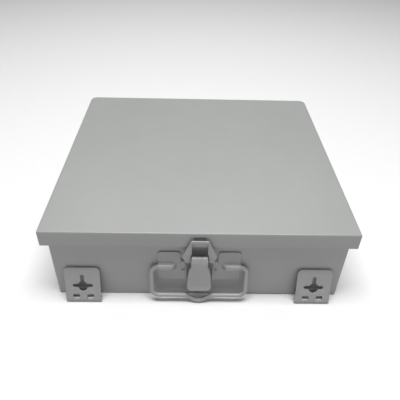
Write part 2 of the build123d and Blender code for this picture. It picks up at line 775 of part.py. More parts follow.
# ---------------------------------------------------------------- fittings inside
def make_tray():
    """The splice tray: a shallow moulding with rounded corners, on four posts."""
    w, d = tray_width / 2, tray_depth / 2
    low = floor + post_height
    tray = block(-w, w, -d, d, low, low + tray_height)
    tray = fillet(tray.edges().filter_by(Axis.Z), tray_corner)
    hollow = block(-w + tray_wall, w - tray_wall, -d + tray_wall, d - tray_wall, low + tray_wall, low + 40)
    hollow = fillet(hollow.edges().filter_by(Axis.Z), tray_corner - tray_wall)
    tray -= hollow
    ring = bar_z(0, 0, low + tray_wall / 2, low + tray_height - tray_ring_below_rim, tray_ring_r)
    ring -= bar_z(0, 0, low, low + tray_height, tray_ring_r - tray_wall)
    for x in (-w + tray_ring_from_end, w - tray_ring_from_end):
        tray += Pos(x, 0, 0) * ring
    for x, y in tray_post_places:
        tray -= bar_z(x - tray_x, y - tray_y, low - 1, low + tray_wall + 1, screw_r)
    for x in (-w + tray_knuckle_from_left, w - tray_knuckle_from_right):
        tray += cover_knuckle(x, d, low, 0)
    return Pos(tray_x, tray_y, 0) * tray


def cover_axis(low):
    """The height of the tray cover's hinge axis, over the tray's underside."""
    return low + tray_height - cover_barrel_r


def cover_knuckle(x, d, low, which):
    """A hinge knuckle on the tray's rear edge (0, for the tray) or beside it (1, for the cover)."""
    start = x + which * tray_knuckle_pitch
    axis_y = d + cover_barrel_r + part_gap
    axis_z = cover_axis(low)
    knuckle = bar_x(start, start + tray_knuckle, axis_y, axis_z, cover_barrel_r)
    if which == 0:
        knuckle += block(start, start + tray_knuckle, d - 0.5, axis_y, axis_z - cover_barrel_r, axis_z)
        knuckle -= bar_x(start - 1, start + tray_knuckle + 1, axis_y, axis_z, cover_pin_r)
    else:
        knuckle += block(
            start, start + tray_knuckle, d - 3, axis_y,
            axis_z + cover_barrel_r + part_gap, axis_z + cover_barrel_r + part_gap + cover_sheet,
        )
        knuckle += block(
            start, start + tray_knuckle, axis_y - cover_strap, axis_y + cover_strap,
            axis_z, axis_z + cover_barrel_r + part_gap + cover_sheet,
        )
        knuckle -= bar_x(start - 1, start + tray_knuckle + 1, axis_y, axis_z, cover_pin_r + running)
    return knuckle


def make_tray_cover():
    """The clear cover of the splice tray, on two hinge knuckles."""
    w, d = tray_width / 2, tray_depth / 2
    low = floor + post_height
    bottom = low + tray_height + part_gap
    cover = block(-w, w, -d, d, bottom, bottom + cover_sheet)
    cover = fillet(cover.edges().filter_by(Axis.Z), tray_corner)
    cover -= bar_z(0, -d, bottom - 1, bottom + cover_sheet + 1, cover_finger_r)
    for x in (-w + tray_knuckle_from_left, w - tray_knuckle_from_right):
        cover += cover_knuckle(x, d, low, 1)
    return Pos(tray_x, tray_y, 0) * cover


def make_cover_pins():
    """The two short pins of the tray cover's hinge."""
    w, d = tray_width / 2, tray_depth / 2
    axis_y = tray_y + d + cover_barrel_r + part_gap
    axis_z = cover_axis(floor + post_height)
    starts = [tray_x + x for x in (-w + tray_knuckle_from_left, w - tray_knuckle_from_right)]
    length = tray_knuckle_pitch + tray_knuckle
    return [bar_x(x, x + length, axis_y, axis_z, cover_pin_r) for x in starts]


def make_tray_posts():
    """Four threaded posts that carry the splice tray."""
    posts = []
    for x, y in tray_post_places:
        post = bar_z(x, y, floor, floor + post_height, post_r)
        posts.append(post - bar_z(x, y, floor + post_floor, floor + post_height + 1, screw_r))
    return posts


def make_tray_screws():
    """The screws that hold the tray on its posts."""
    top = floor + post_height + tray_wall
    screws = []
    for x, y in tray_post_places:
        screw = bar_z(x, y, top - clamp_screw_depth, top, screw_r)
        screws.append(screw + bar_z(x, y, top, top + screw_head, screw_head_r))
    return screws


def make_splice_holder(side):
    """A comb that grips the splice sleeves, one each side of the tray's middle."""
    x = tray_x + side * holder_step
    low = floor + post_height + tray_wall
    half = holder_width / 2
    y = tray_y + side * (half + holder_apart)
    x0, x1 = x - holder_length / 2, x + holder_length / 2
    holder = block(x0, x1, y - half, y + half, low, low + holder_height)
    pitch = holder_width / holder_grooves
    for i in range(holder_grooves):
        groove = y - half + (i + 0.5) * pitch
        holder -= bar_x(x0 - 1, x1 + 1, groove, low + holder_height, pitch * groove_share)
    return holder


def adapter_places():
    """The X of each adapter along the panel."""
    return [panel_x + (i - (adapter_count - 1) / 2) * adapter_pitch for i in range(adapter_count)]


def make_panel():
    """The adapter panel: an upright plate with a foot, and a cut-out for each adapter."""
    y = panel_y
    panel = block(
        panel_x - panel_half, panel_x + panel_half, y, y + panel_sheet, floor, floor + panel_height,
    )
    panel += block(
        panel_x - panel_half, panel_x + panel_half, y, y + panel_foot, floor, floor + panel_sheet,
    )
    z = floor + adapter_axis_height
    for x in adapter_places():
        panel -= block(
            x - adapter_width / 2, x + adapter_width / 2, y - 1, y + panel_sheet + 1,
            z - adapter_height / 2, z + adapter_height / 2,
        )
    for x, place in panel_screw_places:
        panel -= bar_z(x, place, 0, floor + 5, screw_r)
    return panel


def make_adapter(x):
    """A push-pull fibre adapter: a square tube with a flange on the panel's front and a ferrule sleeve."""
    z = floor + adapter_axis_height
    y = panel_y
    half = adapter_length / 2
    w, h = adapter_width / 2, adapter_height / 2
    body = block(x - w, x + w, y - half, y + half, z - h, z + h)
    body += block(x - w, x + w, y - adapter_flange_sheet, y, z - adapter_flange / 2, z + adapter_flange / 2)
    body -= block(
        x - w + adapter_wall, x + w - adapter_wall, y - half - 1, y + half + 1,
        z - h + adapter_wall, z + h - adapter_wall,
    )
    web = block(
        x - w + web_overlap, x + w - web_overlap, y - adapter_web, y + adapter_web,
        z - h + web_overlap, z + h - web_overlap,
    )
    sleeve = bar_y(x, y - sleeve_half, y + sleeve_half, z, sleeve_r)
    return body + web + sleeve - bar_y(x, y - sleeve_half - 1, y + sleeve_half + 1, z, ferrule_r)


def make_dust_caps():
    """A dust cap in both ends of every adapter."""
    caps = []
    z = floor + adapter_axis_height
    fit = part_gap / 2
    w = adapter_width / 2 - adapter_wall - fit
    h = adapter_height / 2 - adapter_wall - fit
    for x in adapter_places():
        for side in (-1, 1):
            mouth = panel_y + side * adapter_length / 2
            cap = block(x - w, x + w, mouth - side * cap_length, mouth, z - h, z + h)
            cap += block(
                x - adapter_width / 2, x + adapter_width / 2, mouth, mouth + side * cap_head,
                z - adapter_height / 2, z + adapter_height / 2,
            )
            cap -= bar_y(x, mouth - side * (cap_length + 2), mouth - side * cap_floor, z, cap_bore_r)
            caps.append(cap)
    return caps


def make_spool(x, y):
    """A fibre spool: a low ring with four fingers that keep the slack fibre down."""
    spool = bar_z(x, y, floor, floor + spool_height, spool_r)
    spool -= bar_z(x, y, floor + spool_wall, floor + spool_height + 1, spool_r - spool_wall)
    for i in range(spool_fingers):
        finger = block(
            spool_r - 1, spool_r + spool_finger_reach, -spool_finger_half, spool_finger_half,
            spool_height - spool_wall, spool_height,
        )
        spool += Pos(x, y, floor) * Rot(0, 0, (i + 0.5) * 360 / spool_fingers) * finger
    return spool - bar_z(x, y, 0, floor + spool_wall + 1, screw_r)


def make_floor_screws():
    """The screws of the adapter panel's foot and of the fibre spools."""
    screws = []
    tops = [(x, y, floor + panel_sheet) for x, y in panel_screw_places]
    tops += [(x, y, floor + spool_wall) for x, y in spool_places]
    for x, y, top in tops:
        screw = bar_z(x, y, floor, top, screw_r) + bar_z(x, y, top, top + screw_head, screw_head_r)
        screws.append(screw)
    return screws


def make_earth_stud():
    """The brass earth stud through the right wall, stepped down to its free end outside the nut."""
    wall = case_width / 2
    end = wall + earth_stud_outside
    neck_end = wall + earth_nut + earth_stud_neck
    shank = bar_x(
        wall - case_sheet - earth_stud_inside, neck_end,
        earth_stud_place, earth_stud_height, earth_stud_shank_r,
    )
    return shank + bar_x(neck_end, end, earth_stud_place, earth_stud_height, earth_stud_r)


def make_earth_nuts():
    """A hexagon nut on the stud on each side of the wall."""
    nuts = []
    wall = case_width / 2
    flat = earth_nut_flats / 2 / cos(radians(30))
    for start in (wall, wall - case_sheet - earth_nut):
        nut = side_profile(
            Pos(earth_stud_place, earth_stud_height) * RegularPolygon(flat, 6), start, start + earth_nut,
        )
        end = start + earth_nut + 1
        nuts.append(nut - bar_x(start - 1, end, earth_stud_place, earth_stud_height, earth_stud_shank_r))
    return nuts


# ---------------------------------------------------------------- all nodes
ear_names = ["front_left", "front_right", "rear_left", "rear_right"]
port_names = ["left_front", "left_rear", "right_front", "right_rear"]

nodes = {
    "case_base": make_case(),
    "lid": make_lid(),
    "lid_gasket": make_gasket(),
    "hinge_leaf_case": make_hinge_leaf(False),
    "hinge_leaf_lid": make_hinge_leaf(True),
    "hinge_pin": make_hinge_pin(),
    "hinge_rivets": make_hinge_rivets(),
    "latch_plate": make_latch_plate(),
    "latch_bracket": make_latch_bracket(),
    "latch_pin": make_latch_pin(),
    "latch_rivets": make_latch_rivets(),
    "latch_lever": make_lever(),
    "hook_pin": make_hook_pin(),
    "latch_hook": make_hook(),
    "carry_handle": make_handle(),
    "ear_pins": make_ear_pins(),
    "ear_rivets": make_ear_rivets(),
    "splice_tray": make_tray(),
    "tray_cover": make_tray_cover(),
    "tray_cover_pins": make_cover_pins(),
    "tray_posts": make_tray_posts(),
    "tray_screws": make_tray_screws(),
    "splice_holder_front": make_splice_holder(-1),
    "splice_holder_rear": make_splice_holder(1),
    "adapter_panel": make_panel(),
    "dust_caps": make_dust_caps(),
    "fibre_spool_left": make_spool(*spool_places[0]),
    "fibre_spool_right": make_spool(*spool_places[1]),
    "floor_screws": make_floor_screws(),
    "clamp_screws": make_clamp_screws(),
    "earth_stud": make_earth_stud(),
    "earth_nuts": make_earth_nuts(),
}
for name, (x, side) in zip(ear_names, ear_centres):
    nodes["ear_" + name] = make_ear(x, side)
    nodes["ear_bracket_" + name] = make_ear_bracket(x, side)
for name, (side, y) in zip(port_names, clamp_places):
    nodes["grommet_" + name] = make_grommet(side, y)
    nodes["clamp_base_" + name] = make_clamp_base(side, y)
    nodes["clamp_strap_" + name] = make_clamp_strap(side, y)
for number, x in enumerate(adapter_places(), 1):
    nodes["adapter_" + str(number)] = make_adapter(x)

os.makedirs("parts", exist_ok=True)
for name, shape in nodes.items():
    solids = shape if isinstance(shape, list) else list(shape.solids())
    whole = solids[0] if len(solids) == 1 else Compound(children=solids)
    whole.label = name
    export_step(whole, "parts/" + name + ".step")
print(len(nodes), "nodes written")
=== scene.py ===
"""The finished fiber termination box: folded shell, draw latch, handle, wall ears and fibre fittings.

Shapes are written in millimetres and stored in metres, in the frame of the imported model: X to the
right seen from the latch, Y towards the hinge, Z out of the back face that the box lies on.
"""

import json
from math import acos, atan2, copysign, cos, degrees, hypot, pi, radians, sin, tan

import bpy
import bmesh
from mathutils import Matrix, Vector, noise

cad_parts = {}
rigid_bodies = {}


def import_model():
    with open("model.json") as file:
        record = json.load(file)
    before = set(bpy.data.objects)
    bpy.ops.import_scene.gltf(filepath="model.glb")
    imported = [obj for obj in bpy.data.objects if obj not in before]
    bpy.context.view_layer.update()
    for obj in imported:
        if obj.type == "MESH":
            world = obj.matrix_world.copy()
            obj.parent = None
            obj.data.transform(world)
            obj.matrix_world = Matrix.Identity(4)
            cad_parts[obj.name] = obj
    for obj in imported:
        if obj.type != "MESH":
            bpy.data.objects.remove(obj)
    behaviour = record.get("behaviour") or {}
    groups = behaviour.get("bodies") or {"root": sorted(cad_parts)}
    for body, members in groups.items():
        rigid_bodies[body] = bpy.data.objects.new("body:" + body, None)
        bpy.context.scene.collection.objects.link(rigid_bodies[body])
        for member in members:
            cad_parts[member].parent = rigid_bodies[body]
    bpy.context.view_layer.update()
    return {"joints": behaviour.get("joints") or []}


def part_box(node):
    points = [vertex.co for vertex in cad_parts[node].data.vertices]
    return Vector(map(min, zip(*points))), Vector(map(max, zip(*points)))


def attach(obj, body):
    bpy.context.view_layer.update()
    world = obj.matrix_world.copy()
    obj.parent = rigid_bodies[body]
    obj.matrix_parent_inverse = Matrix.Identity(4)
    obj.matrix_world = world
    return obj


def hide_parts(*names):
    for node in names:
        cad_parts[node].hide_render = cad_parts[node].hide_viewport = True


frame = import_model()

bl_info = {
    "name": "Fiber termination box",
    "version": (1, 0, 0),
    "blender": (4, 5, 0),
    "location": "3D View > Sidebar > Termination box",
    "description": "Builds the folded steel box, its draw latch, handle, wall ears and fibre fittings",
    "category": "Object",
}

JOINTS = {joint["name"]: joint for joint in frame["joints"]}
FRONT_FACING = Matrix(((1, 0, 0, 0), (0, 0, -1, 0), (0, 1, 0, 0), (0, 0, 0, 1)))
ALONG_X = Matrix(((0, 0, 1, 0), (1, 0, 0, 0), (0, 1, 0, 0), (0, 0, 0, 1)))
EARS = (("front_left", -1), ("front_right", -1), ("rear_left", 1), ("rear_right", 1))
PORTS = ("left_front", "left_rear", "right_front", "right_rear")
CASE_RIM = 4.0
RIVET_HOLE = 1.65
LATCH_RIVETS = ((-18.5, 44.3), (18.5, 44.3))


# ---------------------------------------------------------------- measuring the frame
def pivot(joint):
    """A joint's place in millimetres."""
    return Vector(JOINTS[joint]["pos_m"]) * 1000


def limits(node):
    """A node's lowest and highest corner in millimetres."""
    low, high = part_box(node)
    return low * 1000, high * 1000


def centre(node):
    """The middle of a node's box in millimetres."""
    low, high = limits(node)
    return (low + high) / 2


def at(x, y, z, *turns):
    """A placing matrix: first the turns, given as (degrees, axis), then the shift."""
    place = Matrix.Translation((x, y, z))
    for angle, axis in turns:
        place = place @ Matrix.Rotation(radians(angle), 4, axis)
    return place


# ---------------------------------------------------------------- outlines
def arc(x, y, radius, start, end, steps):
    """Points of an arc from one angle to another, in degrees."""
    angles = [radians(start + (end - start) * i / steps) for i in range(steps + 1)]
    return [(x + radius * cos(a), y + radius * sin(a)) for a in angles]


def circle(x, y, radius, steps=32):
    """A closed round outline."""
    return arc(x, y, radius, 0, 360, steps)[:-1]


def rounded(corners, steps=6, closed=True):
    """An outline whose corners, given as (x, y, radius), are rounded with arcs."""
    outline = []
    for i, (x, y, radius) in enumerate(corners):
        at_end = not closed and i in (0, len(corners) - 1)
        if radius <= 0 or at_end:
            outline.append((x, y))
            continue
        corner = Vector((x, y))
        before = (Vector(corners[i - 1][:2]) - corner).normalized()
        after = (Vector(corners[(i + 1) % len(corners)][:2]) - corner).normalized()
        half = before.angle(after) / 2
        if half > pi / 2 - 0.01:
            outline.append((x, y))
            continue
        middle = corner + (before + after).normalized() * (radius / sin(half))
        start = corner + before * (radius / tan(half)) - middle
        end = corner + after * (radius / tan(half)) - middle
        first = degrees(atan2(start.y, start.x))
        sweep = (degrees(atan2(end.y, end.x)) - first + 180) % 360 - 180
        outline += arc(middle.x, middle.y, radius, first, first + sweep, steps)
    return outline


def ribbon(path, thickness):
    """The closed section of a bent sheet that has this middle line."""
    sides = ([], [])
    for i, point in enumerate(path):
        here = Vector(point)
        back = (here - Vector(path[i - 1])).normalized() if i else None
        ahead = (Vector(path[i + 1]) - here).normalized() if i + 1 < len(path) else back
        back = back or ahead
        across = Vector((-(back + ahead).y, (back + ahead).x)).normalized()
        stretch = 1 / max(0.5, abs(across.dot(Vector((-ahead.y, ahead.x)))))
        for side, way in zip(sides, (1, -1)):
            side.append(tuple(here + across * (way * stretch * thickness / 2)))
    return sides[0] + sides[1][::-1]


def wall_ring(half_x, half_y, front_radius, rear_radius, z, cuts=12, steps=6):
    """A rounded rectangle at a height, with the same number of points for every size."""
    corners = (
        (half_x, half_y, rear_radius, 0), (-half_x, half_y, rear_radius, 90),
        (-half_x, -half_y, front_radius, 180), (half_x, -half_y, front_radius, 270),
    )
    arcs = []
    for x, y, radius, start in corners:
        radius = max(radius, 0.02)
        arcs.append(arc(x - copysign(radius, x), y - copysign(radius, y), radius, start, start + 90, steps))
    points = []
    for i, bend in enumerate(arcs):
        points += bend
        (x0, y0), (x1, y1) = bend[-1], arcs[(i + 1) % 4][0]
        points += [(x0 + (x1 - x0) * k / cuts, y0 + (y1 - y0) * k / cuts) for k in range(1, cuts)]
    return [(x, y, z) for x, y in points]


# ---------------------------------------------------------------- building a piece
class Piece:
    """Collects the shells of one piece in millimetres, then makes its object."""

    def __init__(self):
        self.vertices = []
        self.faces = []

    def add(self, vertices, faces, place=None):
        """Adds one shell, moved by a placing matrix."""
        base = len(self.vertices)
        moved = [place @ Vector(v) for v in vertices] if place else vertices
        self.vertices += [tuple(v) for v in moved]
        self.faces += [tuple(base + i for i in face) for face in faces]
        return self

    def loft(self, rings, place=None, capped=True, joined=False):
        """Skins rings that have the same number of points, as a closed body or a joined loop."""
        count = len(rings[0])
        vertices = [point for ring in rings for point in ring]
        pairs = list(zip(range(len(rings)), range(1, len(rings))))
        if joined:
            pairs.append((len(rings) - 1, 0))
        faces = []
        for low, high in pairs:
            for i in range(count):
                j = (i + 1) % count
                faces.append((low * count + i, low * count + j, high * count + j, high * count + i))
        if capped and not joined:
            faces.append(tuple(reversed(range(count))))
            faces.append(tuple(range(len(vertices) - count, len(vertices))))
        return self.add(vertices, faces, place)

    def prism(self, outline, low, high, place=None):
        """An outline in X and Y raised along Z."""
        return self.loft([[(x, y, z) for x, y in outline] for z in (low, high)], place)

    def along_x(self, outline, x0, x1, place=None):
        """An outline in Y and Z drawn out along X."""
        return self.prism(outline, x0, x1, place @ ALONG_X if place else ALONG_X)

    def block(self, low, high, place=None):
        """A rectangular block between two corners."""
        (x0, y0, z0), (x1, y1, z1) = low, high
        return self.prism([(x0, y0), (x1, y0), (x1, y1), (x0, y1)], z0, z1, place)

    def turned(self, profile, place, steps=32):
        """A turned body from its profile, given as (radius, height) from one end to the other."""
        rings = [[(x, y, h) for x, y in circle(0, 0, max(r, 0.001), steps)] for r, h in profile]
        closed = profile[0] == profile[-1]
        return self.loft(rings[:-1] if closed else rings, place, joined=closed)

    def pin(self, middle, low, high, end_radius, radius, chamfer, steps=20):
        """A pin along X through a point, from low to high, with chamfered ends."""
        profile = [(0, low), (end_radius, low), (radius, low + chamfer), (radius, high - chamfer),
                   (end_radius, high), (0, high)]
        return self.turned(profile, at(*middle, (90, "Y")), steps)

    def plate(self, outline, holes, thickness, place, edge=0.18):
        """A flat plate with holes and slightly rounded edges, centred on Z = 0."""
        curve = bpy.data.curves.new("plate", "CURVE")
        curve.dimensions = "2D"
        curve.fill_mode = "BOTH"
        curve.extrude = thickness / 2 - edge
        curve.bevel_depth = edge
        curve.bevel_resolution = 1
        curve.offset = -edge
        for loop in [outline, *holes]:
            spline = curve.splines.new("POLY")
            spline.points.add(len(loop) - 1)
            for point, (x, y) in zip(spline.points, loop):
                point.co = (x, y, 0, 1)
            spline.use_cyclic_u = True
        maker = bpy.data.objects.new("plate", curve)
        mesh = bpy.data.meshes.new_from_object(maker)
        self.add([v.co.copy() for v in mesh.vertices], [tuple(p.vertices) for p in mesh.polygons], place)
        bpy.data.objects.remove(maker)
        bpy.data.curves.remove(curve)
        bpy.data.meshes.remove(mesh)
        return self

    def wire(self, points, radius, steps=20):
        """A round wire along a path, with slightly domed ends."""
        path = [Vector(p) for p in points]
        last = len(path) - 1
        ways = [(path[min(i + 1, last)] - path[max(i - 1, 0)]).normalized() for i in range(len(path))]
        side = ways[0].orthogonal().normalized()
        rings = []
        for i, (point, way) in enumerate(zip(path, ways)):
            side = (side - way * side.dot(way)).normalized()
            up = way.cross(side)
            shares = [(1.0, 0.0)]
            if i == 0:
                shares = [(0.55, -0.25), (0.9, -0.08), *shares]
            elif i == last:
                shares += [(0.9, 0.08), (0.55, 0.25)]
            for share, ahead in shares:
                middle = point + way * (ahead * radius)
                rings.append([
                    tuple(middle + (side * cos(a) + up * sin(a)) * radius * share)
                    for a in [2 * pi * k / steps for k in range(steps)]
                ])
        return self.loft(rings)

    def curl(self, x0, x1, y, z, radius, thickness, start, sweep, steps=20, place=None):
        """A sheet rolled into a barrel along X, from an angle in Y and Z, open where the sheet ends."""
        outer = arc(y, z, radius, start, start + sweep, steps)
        inner = arc(y, z, radius - thickness, start + sweep, start, steps)
        return self.along_x(outer + inner, x0, x1, place)

    def mesh(self, name):
        """The shells as one mesh in metres, with coinciding points joined and faces outwards."""
        mesh = bpy.data.meshes.new(name)
        mesh.from_pydata([(x / 1000, y / 1000, z / 1000) for x, y, z in self.vertices], [], self.faces)
        shape = bmesh.new()
        shape.from_mesh(mesh)
        bmesh.ops.remove_doubles(shape, verts=shape.verts, dist=1.5e-6)
        bmesh.ops.recalc_face_normals(shape, faces=shape.faces)
        shape.to_mesh(mesh)
        shape.free()
        return mesh

    def make(self, name, body, finish, replaces=(), bevel=0.0):
        """Makes the object, which rides on a body and stands for CAD nodes."""
        mesh = self.mesh(name)
        mesh.validate()
        smooth(mesh)
        mesh.materials.append(bpy.data.materials["finish_" + finish])
        piece = bpy.data.objects.new(name, mesh)
        bpy.context.scene.collection.objects.link(piece)
        if bevel:
            rounding = piece.modifiers.new("edges", "BEVEL")
            rounding.width = bevel / 1000
            rounding.segments = 2
            rounding.limit_method = "ANGLE"
            rounding.angle_limit = radians(40)
            rounding.harden_normals = True
        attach(piece, body)
        if replaces:
            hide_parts(*replaces)
        return piece


def smooth(mesh):
    """Shades the faces smooth, with a crease wherever two of them meet at a real edge."""
    mesh.polygons.foreach_set("use_smooth", [True] * len(mesh.polygons))
    mesh.set_sharp_from_angle(angle=radians(35))


def cut(piece, cutter):
    """Takes the cutter's shells out of a piece for good."""
    mesh = cutter.mesh("cutter")
    tool = bpy.data.objects.new("cutter", mesh)
    bpy.context.scene.collection.objects.link(tool)
    tool.parent = piece.parent
    others = list(piece.modifiers)
    step = piece.modifiers.new("cut", "BOOLEAN")
    step.operation = "DIFFERENCE"
    step.solver = "EXACT"
    step.object = tool
    for other in others:
        other.show_viewport = False
    bpy.context.view_layer.update()
    graph = bpy.context.evaluated_depsgraph_get()
    result = bpy.data.meshes.new_from_object(piece.evaluated_get(graph))
    piece.modifiers.remove(step)
    for other in others:
        other.show_viewport = True
    old = piece.data
    result.name = old.name
    piece.data = result
    bpy.data.objects.remove(tool)
    bpy.data.meshes.remove(mesh)
    bpy.data.meshes.remove(old)
    smooth(result)


# ---------------------------------------------------------------- finishes
class Value:
    """A number socket, so that maths on it reads as an expression and adds its own nodes."""

    def __init__(self, finish, socket):
        self.finish = finish
        self.socket = socket

    def maths(self, operation, first, second):
        node = self.finish.node("ShaderNodeMath", {"operation": operation}, {0: first, 1: second})
        return Value(self.finish, node.outputs[0])

    def __add__(self, other):
        return self.maths("ADD", self, other)

    def __radd__(self, other):
        return self.maths("ADD", other, self)

    def __sub__(self, other):
        return self.maths("SUBTRACT", self, other)

    def __rsub__(self, other):
        return self.maths("SUBTRACT", other, self)

    def __mul__(self, other):
        return self.maths("MULTIPLY", self, other)

    def __rmul__(self, other):
        return self.maths("MULTIPLY", other, self)

    def ramped(self, low, high):
        """0 below low, 1 above high, and a smooth change between them."""
        node = self.finish.node(
            "ShaderNodeMapRange", {"interpolation_type": "SMOOTHSTEP"},
            {"Value": self, "From Min": low, "From Max": high},
        )
        return Value(self.finish, node.outputs["Result"])


class Finish:
    """One procedural material, drawn in the object's own coordinates in metres."""

    def __init__(self, name, roughness=0.5, **constants):
        self.material = bpy.data.materials.new("finish_" + name)
        self.material.use_nodes = True
        self.tree = self.material.node_tree
        self.tree.nodes.clear()
        self.shader = self.node("ShaderNodeBsdfPrincipled", None, {"Roughness": roughness})
        for socket, value in constants.items():
            self.shader.inputs[socket.replace("_", " ")].default_value = value
        self.node("ShaderNodeOutputMaterial", None, {"Surface": self.shader.outputs[0]})
        self.place = self.node("ShaderNodeTexCoord").outputs["Object"]

    def node(self, kind, settings=None, inputs=None):
        """Adds a node: its settings first, then the values or links of its sockets."""
        node = self.tree.nodes.new(kind)
        for key, value in (settings or {}).items():
            setattr(node, key, value)
        for key, value in (inputs or {}).items():
            value = value.socket if isinstance(value, Value) else value
            if isinstance(value, bpy.types.NodeSocket):
                self.tree.links.new(value, node.inputs[key])
            else:
                node.inputs[key].default_value = value
        return node

    def stretched(self, factors):
        """The place, stretched along the axes."""
        node = self.node("ShaderNodeVectorMath", {"operation": "MULTIPLY"}, {0: self.place, 1: factors})
        return node.outputs[0]

    def grain(self, size, detail=2.0, roughness=0.5, stretch=None):
        """Soft noise from 0 to 1 with features of about this size in metres."""
        place = self.stretched(stretch) if stretch else self.place
        node = self.node(
            "ShaderNodeTexNoise", None,
            {"Vector": place, "Scale": 1 / size, "Detail": detail, "Roughness": roughness},
        )
        return Value(self, node.outputs["Fac"])

    def cells(self, size):
        """Cells of about this size, as the distance to each one's middle."""
        node = self.node("ShaderNodeTexVoronoi", None, {"Vector": self.place, "Scale": 1 / size})
        return Value(self, node.outputs["Distance"])

    def blend(self, factor, first, second):
        """A colour between two colours."""
        node = self.node("ShaderNodeMix", {"data_type": "RGBA"}, {0: factor, 6: first, 7: second})
        return node.outputs[2]

    def paint(self, colour):
        """Feeds the base colour."""
        self.tree.links.new(colour, self.shader.inputs["Base Color"])
        return self

    def gloss(self, roughness):
        """Feeds the roughness."""
        self.tree.links.new(roughness.socket, self.shader.inputs["Roughness"])
        return self

    def relief(self, height, depth, strength=1.0):
        """Bumps of this depth in metres where height goes from 0 to 1."""
        bump = self.node(
            "ShaderNodeBump", None, {"Height": height, "Distance": depth, "Strength": strength},
        )
        self.tree.links.new(bump.outputs[0], self.shader.inputs["Normal"])
        return self


def shade(colour, factor):
    """A colour made lighter or darker, with full opacity."""
    return (*[min(1.0, c * factor) for c in colour[:3]], 1.0)


def powder_coat(colour, grain_size):
    """Semi-gloss powder coat over folded steel: fine orange peel, cloudy tone and a few specks."""
    finish = Finish("grey_paint", Specular_IOR_Level=0.5, Coat_Weight=0.08, Coat_Roughness=0.3)
    drift = finish.grain(0.14, 1.0)
    cloud = finish.grain(0.018, 3.0)
    peel = finish.grain(grain_size, 2.0, 0.55)
    fine = finish.grain(grain_size / 4, 1.0)
    speck = 1 - finish.cells(0.009).ramped(0.03, 0.06)
    speck = speck * finish.grain(0.03).ramped(0.62, 0.66)
    tone = 0.5 * drift + 0.3 * cloud + 0.2 * peel
    body = finish.blend(tone, shade(colour, 0.9), shade(colour, 1.1))
    finish.paint(finish.blend(speck * 0.5, body, shade(colour, 0.5)))
    finish.gloss(0.27 + 0.1 * cloud + 0.08 * peel)
    return finish.relief(peel * 0.8 + fine * 0.2, 0.00005)


def zinc(colour):
    """Bright zinc plate on steel: drawn streaks, small spangles and faint yellow and blue clouds."""
    finish = Finish("zinc_steel", Metallic=1.0)
    streak = finish.grain(0.0006, 2.0, 0.5, (0.12, 1.0, 1.0))
    spangle = finish.cells(0.0025)
    cloud = finish.grain(0.012, 2.0)
    cool = finish.blend(cloud, shade(colour, 0.86), shade(colour, 1.08))
    warm = (colour[0] * 1.05, colour[1] * 1.0, colour[2] * 0.86, 1.0)
    finish.paint(finish.blend(cloud.ramped(0.55, 0.75) * 0.6, cool, warm))
    finish.gloss(0.24 + 0.16 * streak + 0.1 * spangle)
    return finish.relief(streak, 0.000012)


def rubber(name, colour, roughness, grain_size):
    """Moulded rubber: a matt skin with fine pits and paler dust in the cloudy parts."""
    finish = Finish(name, Specular_IOR_Level=0.35)
    pits = finish.grain(grain_size, 3.0, 0.6)
    dust = finish.grain(0.011, 2.0)
    finish.paint(finish.blend(dust.ramped(0.4, 0.8) * 0.5, shade(colour, 0.85), shade(colour, 1.8)))
    finish.gloss(roughness + 0.12 * pits)
    return finish.relief(pits, 0.00006)


def foam(colour):
    """Closed-cell foam: cells on a cut face, made to look open with painted shade in each cell's middle and
    a paler rim.
    """
    finish = Finish("gasket_foam", Specular_IOR_Level=0.2)
    cell = finish.cells(0.0011)
    soft = finish.grain(0.006, 2.0)
    # painted shade: each cell is darker in its middle, where its pit lies, and paler towards its rim
    finish.paint(finish.blend(cell.ramped(0.05, 0.6), shade(colour, 0.55), shade(colour, 1.7)))
    finish.gloss(0.82 + 0.12 * soft)
    return finish.relief(cell * 0.8 + soft * 0.2, 0.00022)


def moulded(name, colour, roughness, texture):
    """Injection moulded plastic: a spark-eroded skin, flow marks and a slightly uneven sheen."""
    finish = Finish(name, Specular_IOR_Level=0.5)
    skin = finish.grain(texture, 2.0, 0.6)
    flow = finish.grain(0.02, 2.0, 0.5, (1.0, 0.3, 1.0))
    finish.paint(finish.blend(flow, shade(colour, 0.92), shade(colour, 1.07)))
    finish.gloss(roughness + 0.1 * skin + 0.06 * flow)
    return finish.relief(skin * 0.8 + flow * 0.2, 0.00003)


def clear(colour):
    """Clear polished sheet: see-through, with faint haze and hairline scuffs."""
    finish = Finish("clear_plastic", Specular_IOR_Level=0.6)
    haze = finish.grain(0.04, 2.0)
    scuff = finish.grain(0.0012, 2.0, 0.6, (0.05, 1.0, 1.0)).ramped(0.62, 0.72)
    finish.paint(finish.blend(haze, shade(colour, 0.96), shade(colour, 1.05)))
    finish.gloss(0.08 + 0.1 * haze + 0.2 * scuff)
    alpha = 0.26 + 0.08 * haze + 0.08 * scuff
    finish.tree.links.new(alpha.socket, finish.shader.inputs["Alpha"])
    return finish.relief(haze, 0.00002)


def brass(colour):
    """Turned brass: fine tool rings and a little tarnish."""
    finish = Finish("brass", Metallic=1.0)
    rings = finish.grain(0.0005, 1.0, 0.5, (1.0, 0.1, 0.1))
    tarnish = finish.grain(0.004, 3.0)
    dull = (colour[0] * 0.6, colour[1] * 0.52, colour[2] * 0.5, 1.0)
    finish.paint(finish.blend(tarnish.ramped(0.5, 0.8) * 0.7, shade(colour, 1.05), dull))
    finish.gloss(0.22 + 0.12 * rings + 0.2 * tarnish)
    return finish.relief(rings, 0.00001)


def studio_floor(colour):
    """The pale seamless floor: matt, with a trace of paper grain."""
    finish = Finish("studio_floor", Specular_IOR_Level=0.0)
    paper = finish.grain(0.02, 3.0)
    finish.paint(finish.blend(paper, shade(colour, 0.985), shade(colour, 1.015)))
    finish.gloss(0.9 + 0.05 * paper)
    return finish


